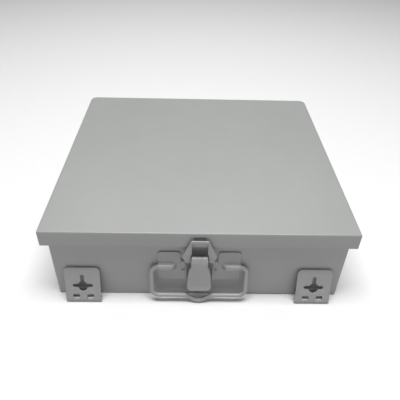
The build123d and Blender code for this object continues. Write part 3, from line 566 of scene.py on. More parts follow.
# ---------------------------------------------------------------- settings
def size(label, about, value):
    """A length in metres."""
    return bpy.props.FloatProperty(
        name=label, description=about, default=value / 1000, min=0.0, unit="LENGTH", precision=4,
    )


def colour(label, about, value):
    """A linear colour."""
    return bpy.props.FloatVectorProperty(
        name=label, description=about, default=value, size=3, min=0.0, max=1.0, subtype="COLOR",
    )


class TerminationBoxSizes(bpy.types.PropertyGroup):
    """Sizes of the finishing touches; the overall sizes come from the frame."""

    sheet: size("Sheet", "Thickness of the case's and lid's steel", 1.2)
    edge: size("Edge", "Rounding of a cut sheet edge under its paint", 0.22)
    lid_front_corner: size("Lid front corner", "Radius of the lid's folded front corners", 1.2)
    lid_rear_corner: size("Lid rear corner", "Radius of the lid's formed rear corners", 9.0)
    lid_fold: size("Lid fold", "Radius of the fold round the lid's top", 1.6)
    case_corner: size("Case corner", "Radius of the case's upright corners", 2.0)
    case_fold: size("Case fold", "Radius of the fold round the case's back face", 1.5)
    lid_wave: size("Lid wave", "How far the lid's top is out of flat", 0.22)
    paint_grain: size("Paint grain", "Size of the powder coat's orange peel", 1.5)


class TerminationBoxColours(bpy.types.PropertyGroup):
    """Colours of the finishes."""

    paint: colour("Paint", "Light grey powder coat", (0.262, 0.268, 0.262))
    zinc: colour("Zinc", "Bright zinc plate", (0.60, 0.61, 0.62))
    rubber: colour("Rubber", "Grommets", (0.022, 0.022, 0.023))
    foam: colour("Foam", "Lid gasket", (0.05, 0.05, 0.055))
    tray: colour("Tray", "Splice tray, spools and clamps", (0.70, 0.71, 0.68))
    cover: colour("Cover", "Clear tray cover", (0.80, 0.85, 0.88))
    holder: colour("Holder", "Splice holders", (0.16, 0.17, 0.18))
    adapter: colour("Adapter", "Fibre adapters", (0.03, 0.12, 0.42))
    cap: colour("Cap", "Dust caps", (0.62, 0.63, 0.63))
    brass: colour("Brass", "Earth stud and nuts", (0.72, 0.50, 0.19))
    floor: colour("Floor", "Studio floor", (0.70, 0.70, 0.70))


def sizes(name):
    """One of the sizes, in millimetres."""
    return getattr(bpy.context.scene.termination_box_sizes, name) * 1000


# ---------------------------------------------------------------- operators
class TERMBOX_OT_finishes(bpy.types.Operator):
    """Make the paint, metal, rubber and plastic finishes"""

    bl_idname = "termbox.finishes"
    bl_label = "Finishes"

    def execute(self, context):
        tints = context.scene.termination_box_colours
        powder_coat(tints.paint, sizes("paint_grain") / 1000)
        zinc(tints.zinc)
        rubber("black_rubber", tints.rubber, 0.62, 0.0008)
        rubber("holder_rubber", tints.holder, 0.55, 0.0012)
        foam(tints.foam)
        moulded("tray_plastic", tints.tray, 0.38, 0.0009)
        moulded("adapter_blue", tints.adapter, 0.26, 0.0006)
        moulded("cap_plastic", tints.cap, 0.34, 0.0007)
        clear(tints.cover)
        brass(tints.brass)
        studio_floor(tints.floor)
        return {"FINISHED"}


class TERMBOX_OT_lid(bpy.types.Operator):
    """Make the folded lid with its latch slot, and the foam gasket inside it"""

    bl_idname = "termbox.lid"
    bl_label = "Lid and gasket"

    def execute(self, context):
        low, high = limits("lid")
        half_x, half_y = high.x, high.y
        sheet, edge, fold = sizes("sheet"), sizes("edge"), sizes("lid_fold")
        front, rear, wave = sizes("lid_front_corner"), sizes("lid_rear_corner"), sizes("lid_wave")

        def top_ring(inset, z, waves):
            ring = wall_ring(half_x - inset, half_y - inset, front - inset, rear - inset, z)
            if not waves:
                return ring
            share = min(1.0, max(0.0, (inset - 4) / 30)) * wave
            return [(x, y, z - share * (0.5 + 0.5 * noise.noise((x / 90, y / 90, 3)))) for x, y, z in ring]

        insets = (150, 135, 115, 95, 75, 56, 38, 22, 10, 4)
        rings = [top_ring(i, high.z, True) for i in insets]
        rings += [
            top_ring(fold - x, high.z - fold + z, False)
            for x, z in arc(0, 0, fold, 90, 0, 6)
        ]
        rings += [top_ring(0, low.z + edge, False)]
        rings += [top_ring(edge - x, low.z + edge + z, False) for x, z in arc(0, 0, edge, -30, -90, 2)]
        rings += [
            top_ring(sheet - edge + x, low.z + edge - z, False) for x, z in arc(0, 0, edge, 90, 0, 3)
        ]
        inner = max(0.4, fold - sheet)
        rings += [
            top_ring(sheet + inner - x, high.z - sheet - inner + z, False)
            for x, z in arc(0, 0, inner, 0, 90, 3)
        ]
        rings += [
            [(x, y, z - sheet) for x, y, z in top_ring(i, high.z, True)] for i in reversed(insets)
        ]
        lid = Piece().loft(rings).make("lid_shell", "lid", "grey_paint", ["lid"])
        slot_half, slot_low, slot_high, slot_corner = 6.7, 90.6, 96.6, 0.6
        slot = rounded([(-slot_half, slot_low, slot_corner), (slot_half, slot_low, slot_corner),
                        (slot_half, slot_high, slot_corner), (-slot_half, slot_high, slot_corner)], 4)
        cut(lid, Piece().prism(slot, -5, 5, at(0, -half_y, 0) @ FRONT_FACING))

        low, high = limits("lid_gasket")
        middle, reach_x, reach_y = (low.y + high.y) / 2, high.x, (high.y - low.y) / 2
        section = rounded([(0, 0, 0.2), (6, 0, 0.2), (6, -2.6, 0.8), (0, -2.6, 0.8)], 3)
        strip = [wall_ring(reach_x - x, reach_y - x, 1.5, 1.5, high.z + z) for x, z in section]
        Piece().loft(strip, at(0, middle, 0), joined=True).make(
            "gasket_strip", "lid", "gasket_foam", ["lid_gasket"])
        return {"FINISHED"}


class TERMBOX_OT_case(bpy.types.Operator):
    """Make the folded case with its outward rim and the holes in its side walls"""

    bl_idname = "termbox.case"
    bl_label = "Case"

    def execute(self, context):
        high = limits("case_base")[1]
        half_x, half_y, port_radius = high.x - CASE_RIM, high.y - CASE_RIM, 10.0
        sheet, edge, fold, corner = sizes("sheet"), sizes("edge"), sizes("case_fold"), sizes("case_corner")

        def ring(inset, z):
            return wall_ring(half_x - inset, half_y - inset, corner - inset, corner - inset, z)

        rings = [ring(i, 0) for i in (150, 120, 80, 40, 10)]
        rings += [ring(fold - x, fold + z) for x, z in arc(0, 0, fold, -90, 0, 5)]
        bend, lip_low = 0.8, high.z - sheet
        rings += [ring(-bend - x, lip_low - bend + z) for x, z in arc(0, 0, bend, 180, 90, 4)]
        rings += [ring(-CASE_RIM + edge - x, lip_low + edge + z) for x, z in arc(0, 0, edge, -90, 0, 2)]
        rings += [ring(-CASE_RIM + edge - x, high.z - edge + z) for x, z in arc(0, 0, edge, 0, 90, 2)]
        inner = bend + sheet
        rings += [ring(-bend - x, high.z - inner + z) for x, z in arc(0, 0, inner, 90, 180, 5)]
        rings += [ring(sheet + 1 - x, sheet + 1 + z) for x, z in arc(0, 0, 1, 0, -90, 4)]
        rings += [ring(i, sheet) for i in (10, 40, 80, 120, 150)]
        case = Piece().loft(rings).make("case_shell", "case", "grey_paint", ["case_base"])
        holes = Piece()
        for port in PORTS:
            middle = centre("grommet_" + port)
            holes.along_x(circle(middle.y, middle.z, port_radius, 40), middle.x - 5, middle.x + 5)
        cut(case, holes)
        return {"FINISHED"}


class TERMBOX_OT_hinge(bpy.types.Operator):
    """Make the continuous hinge on the rear wall: two leaves, their rolled knuckles, the pin and rivets"""

    bl_idname = "termbox.hinge"
    bl_label = "Rear hinge"

    def execute(self, context):
        axis = pivot("lid_swing")
        barrel, roll, sheet, knuckles, gap, half = 2.4, 1.1, 1.0, 15, 0.3, 150.0
        pitch = 2 * half / knuckles
        free, rolled = 2.0, 0.2
        for node, body, first in (("hinge_leaf_case", "case", 0), ("hinge_leaf_lid", "lid", 1)):
            low, high = limits(node)
            for_lid = first == 1
            if for_lid:
                face, bottom, top = high.y - sheet, 82.8, high.z
                low_corner, high_corner, band_low, turn = rolled, free, bottom + 0.4, (0, -300)
            else:
                face, bottom, top = low.y, low.z, axis.z - barrel - 0.6
                low_corner, high_corner, band_low, turn = free, rolled, top - 0.5, (180, 300)
            outline = rounded([(-half, bottom, low_corner), (half, bottom, low_corner),
                               (half, top, high_corner), (-half, top, high_corner)])
            leaf = Piece()
            leaf.plate(outline, [], sheet, at(0, face + sheet / 2, 0) @ FRONT_FACING, 0.12)
            for i in range(first, knuckles, 2):
                x0 = -half + i * pitch + gap / 2
                x1 = -half + (i + 1) * pitch - gap / 2
                band = [(face, band_low), (face + sheet, band_low), (face + sheet, axis.z), (face, axis.z)]
                leaf.along_x(band, x0, x1)
                leaf.curl(x0, x1, axis.y, axis.z, barrel, roll, *turn)
            leaf.make("hinge_leaf_of_" + body, body, "zinc_steel", [node], bevel=0.12)
        wire = Piece().pin((0, axis.y, axis.z), -half, half, 1.0, 1.2, 0.3, 32)
        wire.make("hinge_wire", "case", "zinc_steel", ["hinge_pin"])
        rivets = Piece()
        face = limits("hinge_leaf_case")[0].y
        for i in range(5):
            rivet(rivets, (i - 2) * 60.0, face, axis.z - 10.4, 1.0, 1)
        rivets.make("hinge_blind_rivets", "case", "grey_paint", ["hinge_rivets"])
        return {"FINISHED"}


def rivet(piece, x, wall_y, z, grip, outwards):
    """A blind rivet: a low domed head with its broken stem down the middle, and a bulbed tail."""
    turn = 90 if outwards < 0 else -90
    head = [
        (0.0, grip - 0.15), (0.55, grip - 0.1), (0.7, grip - 0.45), (1.1, grip - 0.4), (1.2, grip + 0.5),
        (1.35, grip + 0.72), (1.7, grip + 0.8), (2.25, grip + 0.62), (2.6, grip + 0.3), (2.7, grip + 0.08),
        (2.66, grip), (1.6, grip), (1.6, -1.3), (2.2, -1.5), (2.4, -1.9), (2.0, -2.15), (0.9, -2.2),
        (0, -2.2),
    ]
    piece.turned(head, at(x, wall_y, z, (turn, "X")), 24)


class TERMBOX_OT_latch_plate(bpy.types.Operator):
    """Make the latch's wide stamped plate with its two wire tunnels, the bracket on it and the rivets"""

    bl_idname = "termbox.latch_plate"
    bl_label = "Latch plate and bracket"

    def execute(self, context):
        low, high = limits("latch_plate")
        wall, sheet = high.y, sizes("sheet")
        handle_z = pivot("handle_swing").z
        radius, wire_out, spread, taper_in, taper = 3.9, 2.7, 5.2, 24.0, 7.0
        half = high.x
        path = [(sheet, low.z + (handle_z - spread - low.z) * k / 4) for k in range(4)]
        flare = 0.9
        path += [(sheet + flare - o, handle_z - radius - flare + s) for s, o in arc(0, 0, flare, 90, 0, 4)]
        path += arc(wire_out, handle_z, radius, -90, 90, 14)
        path += [(sheet + flare - o, handle_z + radius + flare - s) for s, o in arc(0, 0, flare, 0, 90, 4)]
        path += [(sheet, handle_z + spread + (high.z - handle_z - spread) * k / 4) for k in range(1, 5)]
        stations = [-half + (half - taper_in - taper) * k / 4 for k in range(5)]
        stations += [-taper_in - taper + taper * k / 10 for k in range(1, 11)]
        stations += [-taper_in + 2 * taper_in * k / 10 for k in range(1, 10)]
        stations += [-x for x in reversed(stations[:15])]
        rings = []
        for x in stations:
            rise = min(1.0, max(0.0, (abs(x) - taper_in) / taper))
            rise = rise * rise * (3 - 2 * rise)
            outer = [(x, wall - sheet - (out - sheet) * rise, z) for out, z in path]
            inner = []
            for out, z in path:
                depth = hypot(z - handle_z, max(0.0, out - wire_out))
                flat = depth >= radius - 0.01 and out <= wire_out
                under = max(0.0, out - sheet) if flat else out - sheet
                squeeze = (radius - sheet) / radius if abs(z - handle_z) <= radius + 0.001 else 1.0
                z_in = handle_z + (z - handle_z) * (1 - (1 - squeeze) * rise)
                inner.append((x, wall - under * rise, z_in))
            rings.append(outer + inner[::-1])
        plate = Piece().loft(rings)
        plate = plate.make("latch_plate_stamping", "case", "grey_paint", ["latch_plate"], bevel=0.2)
        inner_x, notch, top, corner = 21.0, 57.2, high.z, 4.0
        right = [(half, low.z, 1.0), (half, top, corner), (inner_x, top, corner), (inner_x, notch, 1.0)]
        outside = rounded(right + [(-x, z, radius) for x, z, radius in reversed(right)], 6)
        around = 8.0
        wide, under, over = half + around, low.z - around, top + around
        waste = Piece()
        waste.plate([(-wide, under), (wide, under), (wide, over), (-wide, over)], [outside], 24.0,
                    at(0, wall + 3, 0) @ FRONT_FACING, 0.0)
        cut(plate, waste)

        bracket = Piece()
        low, high = limits("latch_bracket")
        width, foot_low, foot_high = 21.5, low.z, notch - 1.0
        foot = rounded([(-width, foot_low, 3), (width, foot_low, 3), (width, foot_high, 3),
                        (-width, foot_high, 3)])
        holes = [circle(x, z, RIVET_HOLE, 20) for x, z in LATCH_RIVETS]
        bracket.plate(foot, holes, sheet, at(0, wall - 1.5 * sheet, 0) @ FRONT_FACING)
        for side in (-1, 1):
            rib = rounded([(wall - 1.4, foot_low + 0.6, 0), (wall - 5.8, foot_low + 3, 2.2),
                           (wall - 5.8, foot_high - 3, 2.2), (wall - 1.4, foot_high - 0.6, 0)], 5)
            x0, x1 = sorted((side * 14.4, side * 15.6))
            bracket.along_x(rib, x0, x1)
        axis = pivot("lever_swing")
        tongue = rounded([(wall - 1.8, foot_high - 2, 0), (wall - 1.8, axis.z - 4.4, 1.8),
                          (axis.y + 1.4, axis.z + 0.9, 0)], 6, closed=False)
        bracket.along_x(ribbon(tongue, sheet), -3, 3)
        bracket.curl(-3, 3, axis.y, axis.z, 2.6, 1.2, 40, 310)
        bracket.make("latch_bracket_foot", "case", "grey_paint", ["latch_bracket"], bevel=0.18)

        pin = Piece().pin(axis, -8.7, 8.7, 1.0, 1.3, 0.3)
        pin.make("lever_hinge_pin", "case", "zinc_steel", ["latch_pin"])
        rivets = Piece()
        for x, z in LATCH_RIVETS:
            rivet(rivets, x, wall, z, 2 * sheet, -1)
        rivets.make("latch_blind_rivets", "case", "grey_paint", ["latch_rivets"])
        return {"FINISHED"}


class TERMBOX_OT_lever(bpy.types.Operator):
    """Make the latch lever: a drawn channel rolled round its pin at the top, with a finger lip below"""

    bl_idname = "termbox.lever"
    bl_label = "Latch lever"

    def execute(self, context):
        axis, hook = pivot("lever_swing"), pivot("hook_swing")
        sheet, roll = sizes("sheet"), 2.6

        def between(drop, table):
            """The value at a drop below the axis, eased between the table's rows."""
            for (d0, v0), (d1, v1) in zip(table, table[1:]):
                if drop <= d1:
                    share = max(0.0, (drop - d0) / (d1 - d0))
                    share = share * share * (3 - 2 * share)
                    return v0 + (v1 - v0) * share
            return table[-1][1]

        widths = ((0, 9.2), (9.6, 9.2), (11.0, 9.4), (20, 12.0), (30, 13.0), (40, 13.6), (54, 13.6))
        flanges = ((0, 1.25), (10.6, 1.5), (14.5, 5.4), (37, 5.4), (39.4, 1.6), (54, 1.4))
        stations = []
        for angle in (-205, -185, -165, -145, -125, -105, -90):
            a = radians(angle)
            stations.append((axis.y - roll * cos(a), axis.z - roll * sin(a), a, 8.7, 1.22))
        bulge, fall = 4.0, 9.0
        for angle in (-78, -66, -54, -42, -31, -20, -10, 0):
            a = radians(angle)
            y, z = axis.y - bulge * cos(a), axis.z + roll - fall - fall * sin(a)
            turn = atan2(sin(a) * bulge, cos(a) * fall)
            drop = axis.z - z
            stations.append((y, z, turn, 8.7 if drop < 3.2 else 9.2, 1.3))
        face = axis.y - bulge
        drops = (7.4, 9, 10.2, 11, 12, 13, 14, 15, 17, 20, 24, 28, 32, 34, 35.4, 36.4, 37.2, 38, 38.6, 39.2)
        for drop in drops:
            back = max(0.0, (drop - 9) / 30)
            stations.append((face + back, axis.z - drop, 0.0, between(drop, widths), between(drop, flanges)))
        bend, lean = 9.0, radians(16)
        start = stations[-1]
        for k in range(1, 6):
            a = lean * k / 5
            stations.append((start[0] - bend * (1 - cos(a)), start[1] - bend * sin(a), a, 13.6, 1.4))
        y, z = stations[-1][:2]
        tip_z, foot_half, corner = 20.9, 13.6, 5.0
        reach = (z - tip_z) / cos(lean)
        for share in (0.3, 0.55, 0.72, 0.84, 0.92, 0.97, 1.0):
            step = reach * share
            short = max(0.0, corner - (reach - step))
            width = foot_half - corner + (corner ** 2 - short * short) ** 0.5 if short < corner else 8.6
            stations.append((y - step * sin(lean), z - step * cos(lean), lean, max(width, 8.9), 1.3))

        piece = Piece()
        rings = []
        for y, z, turn, width, flange in stations:
            out = Vector((0, -cos(turn), copysign(1, turn) * sin(turn)))
            rounding = 1.35 if flange > 1.3 else 0.3
            share = min(1.0, max(0.0, flange - sheet))
            outline = []
            for side in (1, -1):
                outer = [(width, -flange), (width, -(flange + rounding) / 2)]
                outer += [(width - rounding + rounding * cos(a), -rounding + rounding * sin(a))
                          for a in [pi / 2 * k / 5 for k in range(6)]]
                outer += [(width * 0.6, 0.0), (width * 0.25, 0.0)]
                outline.append([(side * x, d) for x, d in outer])
            inner_width = width - sheet * share
            inner = [(inner_width, -max(flange, sheet + 0.02)), (inner_width, -sheet - 0.3 * share),
                     (inner_width - 0.3, -sheet), (width * 0.6, -sheet), (width * 0.25, -sheet)]
            section = outline[0] + outline[1][::-1]
            section += [(-x, d) for x, d in inner] + [(x, d) for x, d in reversed(inner)]
            origin = Vector((0, y, z))
            rings.append([tuple(origin + Vector((x, 0, 0)) + out * d) for x, d in section])
        piece.loft(rings)
        for side in (-1, 1):
            cheek = rounded([(face + 1.4, hook.z + 2.6, 0), (hook.y + 2.6, hook.z + 2.6, 2.5),
                             (hook.y + 2.6, hook.z - 2.6, 2.5), (face + 1.0, hook.z - 4.6, 0)], 5)
            x0, x1 = sorted((side * 8.0, side * 9.2))
            piece.along_x(cheek, x0, x1)
        lever = piece.make("lever_stamping", "lever", "grey_paint", ["latch_lever"], bevel=0.18)
        gap = Piece().block((-3.3, axis.y - 2.2, axis.z - 3.4), (3.3, axis.y + 8, axis.z + 6))
        cut(lever, gap)

        width = limits("hook_pin")[1].x
        pin = Piece().pin(hook, -width, width, 0.9, 1.25, 0.35)
        pin.make("hook_hinge_pin", "lever", "zinc_steel", ["hook_pin"])
        return {"FINISHED"}


class TERMBOX_OT_hook(bpy.types.Operator):
    """Make the draw hook: a forked plate with an eye on each arm and a lip bent in at the top"""

    bl_idname = "termbox.hook"
    bl_label = "Draw hook"

    def execute(self, context):
        axis = pivot("hook_swing")
        sheet, eye, bore = sizes("sheet"), 2.3, 1.3
        front = 0.6 - eye
        place = at(axis.x, axis.y, axis.z, (3.5, "X"))
        half = [(9.4, 34.0, 1.5), (19.0, 10.0, 2.2), (15.4, 0.4, 0.3), (9.6, 0.4, 0.3), (9.6, 12.6, 0.6),
                (8.6, 13.6, 0.6), (8.6, 30.1, 1.0)]
        fork = rounded(half + [(-x, z, r) for x, z, r in reversed(half)], 6)
        hook = Piece()
        hook.plate(fork, [], 1.5, place @ at(0, front, 0) @ FRONT_FACING, 0.5)
        lip = rounded([(front, 32.6, 0), (front, 30.7, 0.8), (0.9, 30.7, 0)], 6, closed=False)
        hook.along_x(ribbon(lip, sheet), -5.9, 5.9, place)
        for side in (-1, 1):
            x0, x1 = sorted((side * 9.7, side * 15.4))
            hook.curl(x0, x1, 0, 0, eye, eye - bore, 180, -310, 20, place)
        hook.make("hook_stamping", "hook", "grey_paint", ["latch_hook"], bevel=0.12)
        return {"FINISHED"}


class TERMBOX_OT_handle(bpy.types.Operator):
    """Make the bent wire carrying handle"""

    bl_idname = "termbox.handle"
    bl_label = "Wire handle"

    def execute(self, context):
        axis = pivot("handle_swing")
        half, drop, reach, nose, end, radius = 53.5, 39.3, 46.9, 15.0, 32.0, 2.6
        lean = degrees(acos((axis.z - radius) / reach))
        corners = [(-end, 0, 0), (-half, 0, 8.1), (-half, drop, 8.0), (-nose, drop, 12.0),
                   (0, reach + 0.9, 7.0), (nose, drop, 12.0), (half, drop, 8.0), (half, 0, 8.1), (end, 0, 0)]
        path = rounded(corners, 10, closed=False)
        place = at(axis.x, axis.y, axis.z, (-lean, "X"))
        points = [place @ Vector((x, 0, -fall)) for x, fall in path]
        wire = Piece().wire(points, radius, 24)
        wire.make("handle_wire", "handle", "grey_paint", ["carry_handle"])
        return {"FINISHED"}


class TERMBOX_OT_ears(bpy.types.Operator):
    """Make the four fold-out wall ears, their brackets, pins and rivets"""

    bl_idname = "termbox.ears"
    bl_label = "Wall ears"

    def execute(self, context):
        half, length, sheet, barrel = 20.0, 42.4, 1.2, 3.0
        pitch, gap, window = 8.0, 0.3, 7.6
        wall, foot_half, rivet_step, rivet_z = 11.0, 16.0, 11.0, 4.4
        near, far = pitch / 2, 3 * pitch / 2
        own_bands = ((-half, -far - gap / 2), (-near + gap / 2, near - gap / 2), (far + gap / 2, half))
        foot_bands = ((-far + gap / 2, -near - gap / 2), (near + gap / 2, far - gap / 2))
        x1, x2 = near + gap, far - gap
        outline = rounded([
            (-half, length, 5.5), (half, length, 5.5), (half, 0, 0), (x2, 0, 0), (x2, window, 0.8),
            (x1, window, 0.8), (x1, 0, 0), (-x1, 0, 0), (-x1, window, 0.8), (-x2, window, 0.8),
            (-x2, 0, 0), (-half, 0, 0),
        ], 6)
        keyhole = keyhole_outline(19.2, 5.6, 4.4, 14.0, 11.4)
        path = rounded([(3.6, -barrel + sheet / 2, 0), (wall - sheet / 2, -barrel + sheet / 2, 1.4),
                        (wall - sheet / 2, 6.0, 0)], 6, closed=False)
        flange = rounded([(-foot_half, -0.2, 0), (foot_half, -0.2, 0), (foot_half, 9, 3),
                          (-foot_half, 9, 3)], 5)
        holes = [circle(x, rivet_z, RIVET_HOLE, 20) for x in (-rivet_step, rivet_step)]
        tab = [(0, -barrel), (4.2, -barrel), (4.2, -barrel + sheet), (0, -barrel + sheet)]
        rivets, pins = Piece(), Piece()
        for name, side in EARS:
            axis = pivot("ear_swing_" + name)
            lean = JOINTS["ear_swing_" + name]["range_deg"][1] - 90
            base = at(*axis, (0 if side < 0 else 180, "Z"))
            leaning = base @ Matrix.Rotation(radians(-lean), 4, "X")
            ear = Piece()
            ear.plate(outline, [keyhole], sheet, leaning @ at(0, sheet / 2 - barrel, 0) @ FRONT_FACING, 0.24)
            for x0, x1 in own_bands:
                ear.curl(x0, x1, 0, 0, barrel, sheet, 180, 315, 24, leaning)
            ear.make("ear_plate_" + name, "ear_" + name, "grey_paint", ["ear_" + name], bevel=0.16)

            bracket = Piece()
            bracket.along_x(ribbon(path, sheet), -foot_half, foot_half, base)
            bracket.plate(flange, holes, sheet, base @ at(0, wall - sheet / 2, 0) @ FRONT_FACING)
            for x0, x1 in foot_bands:
                bracket.along_x(tab, x0, x1, base)
                bracket.curl(x0, x1, 0, 0, barrel, sheet, -90, -315, 24, base)
            bracket.make("ear_foot_" + name, "case", "grey_paint", ["ear_bracket_" + name], bevel=0.16)
            pins.pin(axis, -half, half, 1.1, 1.5, 0.4)
            for step in (-rivet_step, rivet_step):
                rivet(rivets, axis.x + step, axis.y - side * wall, barrel + rivet_z, sheet, side)
        pins.make("ear_hinge_pins", "case", "zinc_steel", ["ear_pins"])
        rivets.make("ear_blind_rivets", "case", "grey_paint", ["ear_rivets"])
        return {"FINISHED"}


def keyhole_outline(height, radius, slot, up, across):
    """A round hole with a slot upwards and a slot to each side."""
    arm = slot / 2
    reach = (radius ** 2 - arm ** 2) ** 0.5
    angle = degrees(atan2(arm, reach))
    outline = [(x, height + z) for x, z in arc(across - arm, 0, arm, -90, 90, 8)]
    outline += [(x, height + z) for x, z in arc(0, 0, radius, angle, 90 - angle, 6)]
    outline += [(x, height + z) for x, z in arc(0, up - arm, arm, 0, 180, 8)]
    outline += [(x, height + z) for x, z in arc(0, 0, radius, 90 + angle, 180 - angle, 6)]
    outline += [(x, height + z) for x, z in arc(-across + arm, 0, arm, 90, 270, 8)]
    outline += [(x, height + z * 1.3) for x, z in arc(0, 0, radius, 180 + angle, 360 - angle, 16)]
    return outline


GROMMET_PROFILE = (
    (5.0, -1.9), (5.3, -2.2), (12.4, -2.2), (13.0, -1.7), (12.7, -0.9), (12.2, -0.6), (10.0, -0.6),
    (10.0, 0.6), (12.2, 0.6), (12.8, 0.95), (13.0, 1.7), (12.4, 2.2), (8.2, 2.2), (7.9, 2.0),
    (7.4, 2.0), (7.1, 2.2), (5.3, 2.2), (5.0, 1.9), (5.0, -1.9),
)


class TERMBOX_OT_entries(bpy.types.Operator):
    """Make the rubber grommets, the cable clamps behind them and the brass earth stud"""

    bl_idname = "termbox.entries"
    bl_label = "Cable entries and earth stud"

    def execute(self, context):
        screws, cable = Piece(), 5.0
        for port in PORTS:
            node = "grommet_" + port
            middle = centre(node)
            side = copysign(1, middle.x)
            grommet = Piece().turned(GROMMET_PROFILE, at(*middle, (90 * side, "Y")), 48)
            grommet.make("rubber_grommet_" + port, "case", "black_rubber", [node])
            base, strap = Piece(), Piece()
            low, high = limits("clamp_base_" + port)
            y, z = middle.y, middle.z
            right = rounded([(-17, low.z, 0.3), (17, low.z, 0.3), (17, high.z, 1.2)], 3)
            left = rounded([(-17, high.z, 1.2), (-17, low.z, 0.3), (-12, low.z, 0)], 3)[:4]
            saddle = [(y + u, v) for u, v in right]
            saddle += arc(y, z, cable, -3.4, -176.6, 20)
            saddle += [(y + u, v) for u, v in left]
            base.along_x(saddle, low.x, high.x)
            for rib in (-4, 0, 4):
                x = (low.x + high.x) / 2 + rib
                base.curl(x - 0.5, x + 0.5, y, z, 5.6, 0.9, -8, -164, 16)
            base.make("clamp_saddle_" + port, "case", "tray_plastic", ["clamp_base_" + port], bevel=0.4)
            low, high = limits("clamp_strap_" + port)
            arch = [(y + 17, low.z), (y + 17, low.z + 4)]
            arch += arc(y, z, 9.0, 29, 151, 20)
            arch += [(y - 17, low.z + 4), (y - 17, low.z)] + arc(y, z, cable, 176.6, 3.4, 20)
            strap.along_x(arch, low.x, high.x)
            strap.make("clamp_bridge_" + port, "case", "tray_plastic", ["clamp_strap_" + port], bevel=0.5)
            for step in (-13.0, 13.0):
                screw(screws, (low.x + high.x) / 2, y + step, low.z + 4, 12)
        screws.make("clamp_cross_screws", "case", "zinc_steel", ["clamp_screws"])

        low, high = limits("earth_stud")
        y, z = (low.y + high.y) / 2, (low.z + high.z) / 2
        step = high.x - 5.4
        thread = [(0, low.x), (3.2, low.x), (3.6, low.x + 0.5)]
        for i in range(int(step - low.x - 1.2)):
            thread += [(3.5, low.x + 0.8 + i), (3.98, low.x + 1.22 + i), (3.98, low.x + 1.38 + i)]
        thread += [(3.6, step - 0.25), (2.4, step), (2.4, step + 0.3)]
        for i in range(4):
            thread += [(2.5, step + 0.4 + i), (2.98, step + 0.82 + i), (2.98, step + 0.98 + i)]
        thread += [(2.5, high.x - 0.6), (2.1, high.x), (0, high.x)]
        stud = Piece().turned(thread, at(0, y, z, (90, "Y")), 28)
        stud.make("brass_earth_stud", "case", "brass", ["earth_stud"])
        nuts = Piece()
        corner, nut = 6.5 / cos(radians(30)), 4.0
        wall = limits("case_base")[1].x - CASE_RIM
        for start in (wall, wall - sizes("sheet") - nut):
            rings = []
            for x, share in ((0, 0.9), (0.45, 1.0), (3.55, 1.0), (nut, 0.9)):
                rings.append([(start + x, y + u, z + v) for u, v in circle(0, 0, corner * share, 6)])
            nuts.loft(rings)
        nuts.make("brass_earth_nuts", "case", "brass", ["earth_nuts"], bevel=0.2)
        return {"FINISHED"}


def screw(piece, x, y, z, length):
    """A pan head screw pointing down, with a cross recess."""
    radius, head, rise, steps = 1.5, 2.8, 1.8, 32
    rings = []
    for share, height in ((0.02, -length), (0.7, -length), (1.0, 0.8 - length), (1.0, 0.0)):
        rings.append([(x + u, y + v, z + height) for u, v in circle(0, 0, radius * share, steps)])
    for share, lift in ((0.95, 0.0), (1.0, 0.3), (0.97, 0.7), (0.85, 0.95), (0.62, 1.0)):
        rings.append([(x + u, y + v, z + rise * lift) for u, v in circle(0, 0, head * share, steps)])
    cross = []
    for i in range(steps):
        a = 2 * pi * i / steps
        arm = 1.55 if i % 8 in (0, 1, 7) else 0.62
        cross.append((arm * cos(a), arm * sin(a)))
    for share, lift in ((1.0, 1.0), (0.55, 0.35), (0.02, 0.25)):
        rings.append([(x + u * share, y + v * share, z + rise * lift) for u, v in cross])
    piece.loft(rings)


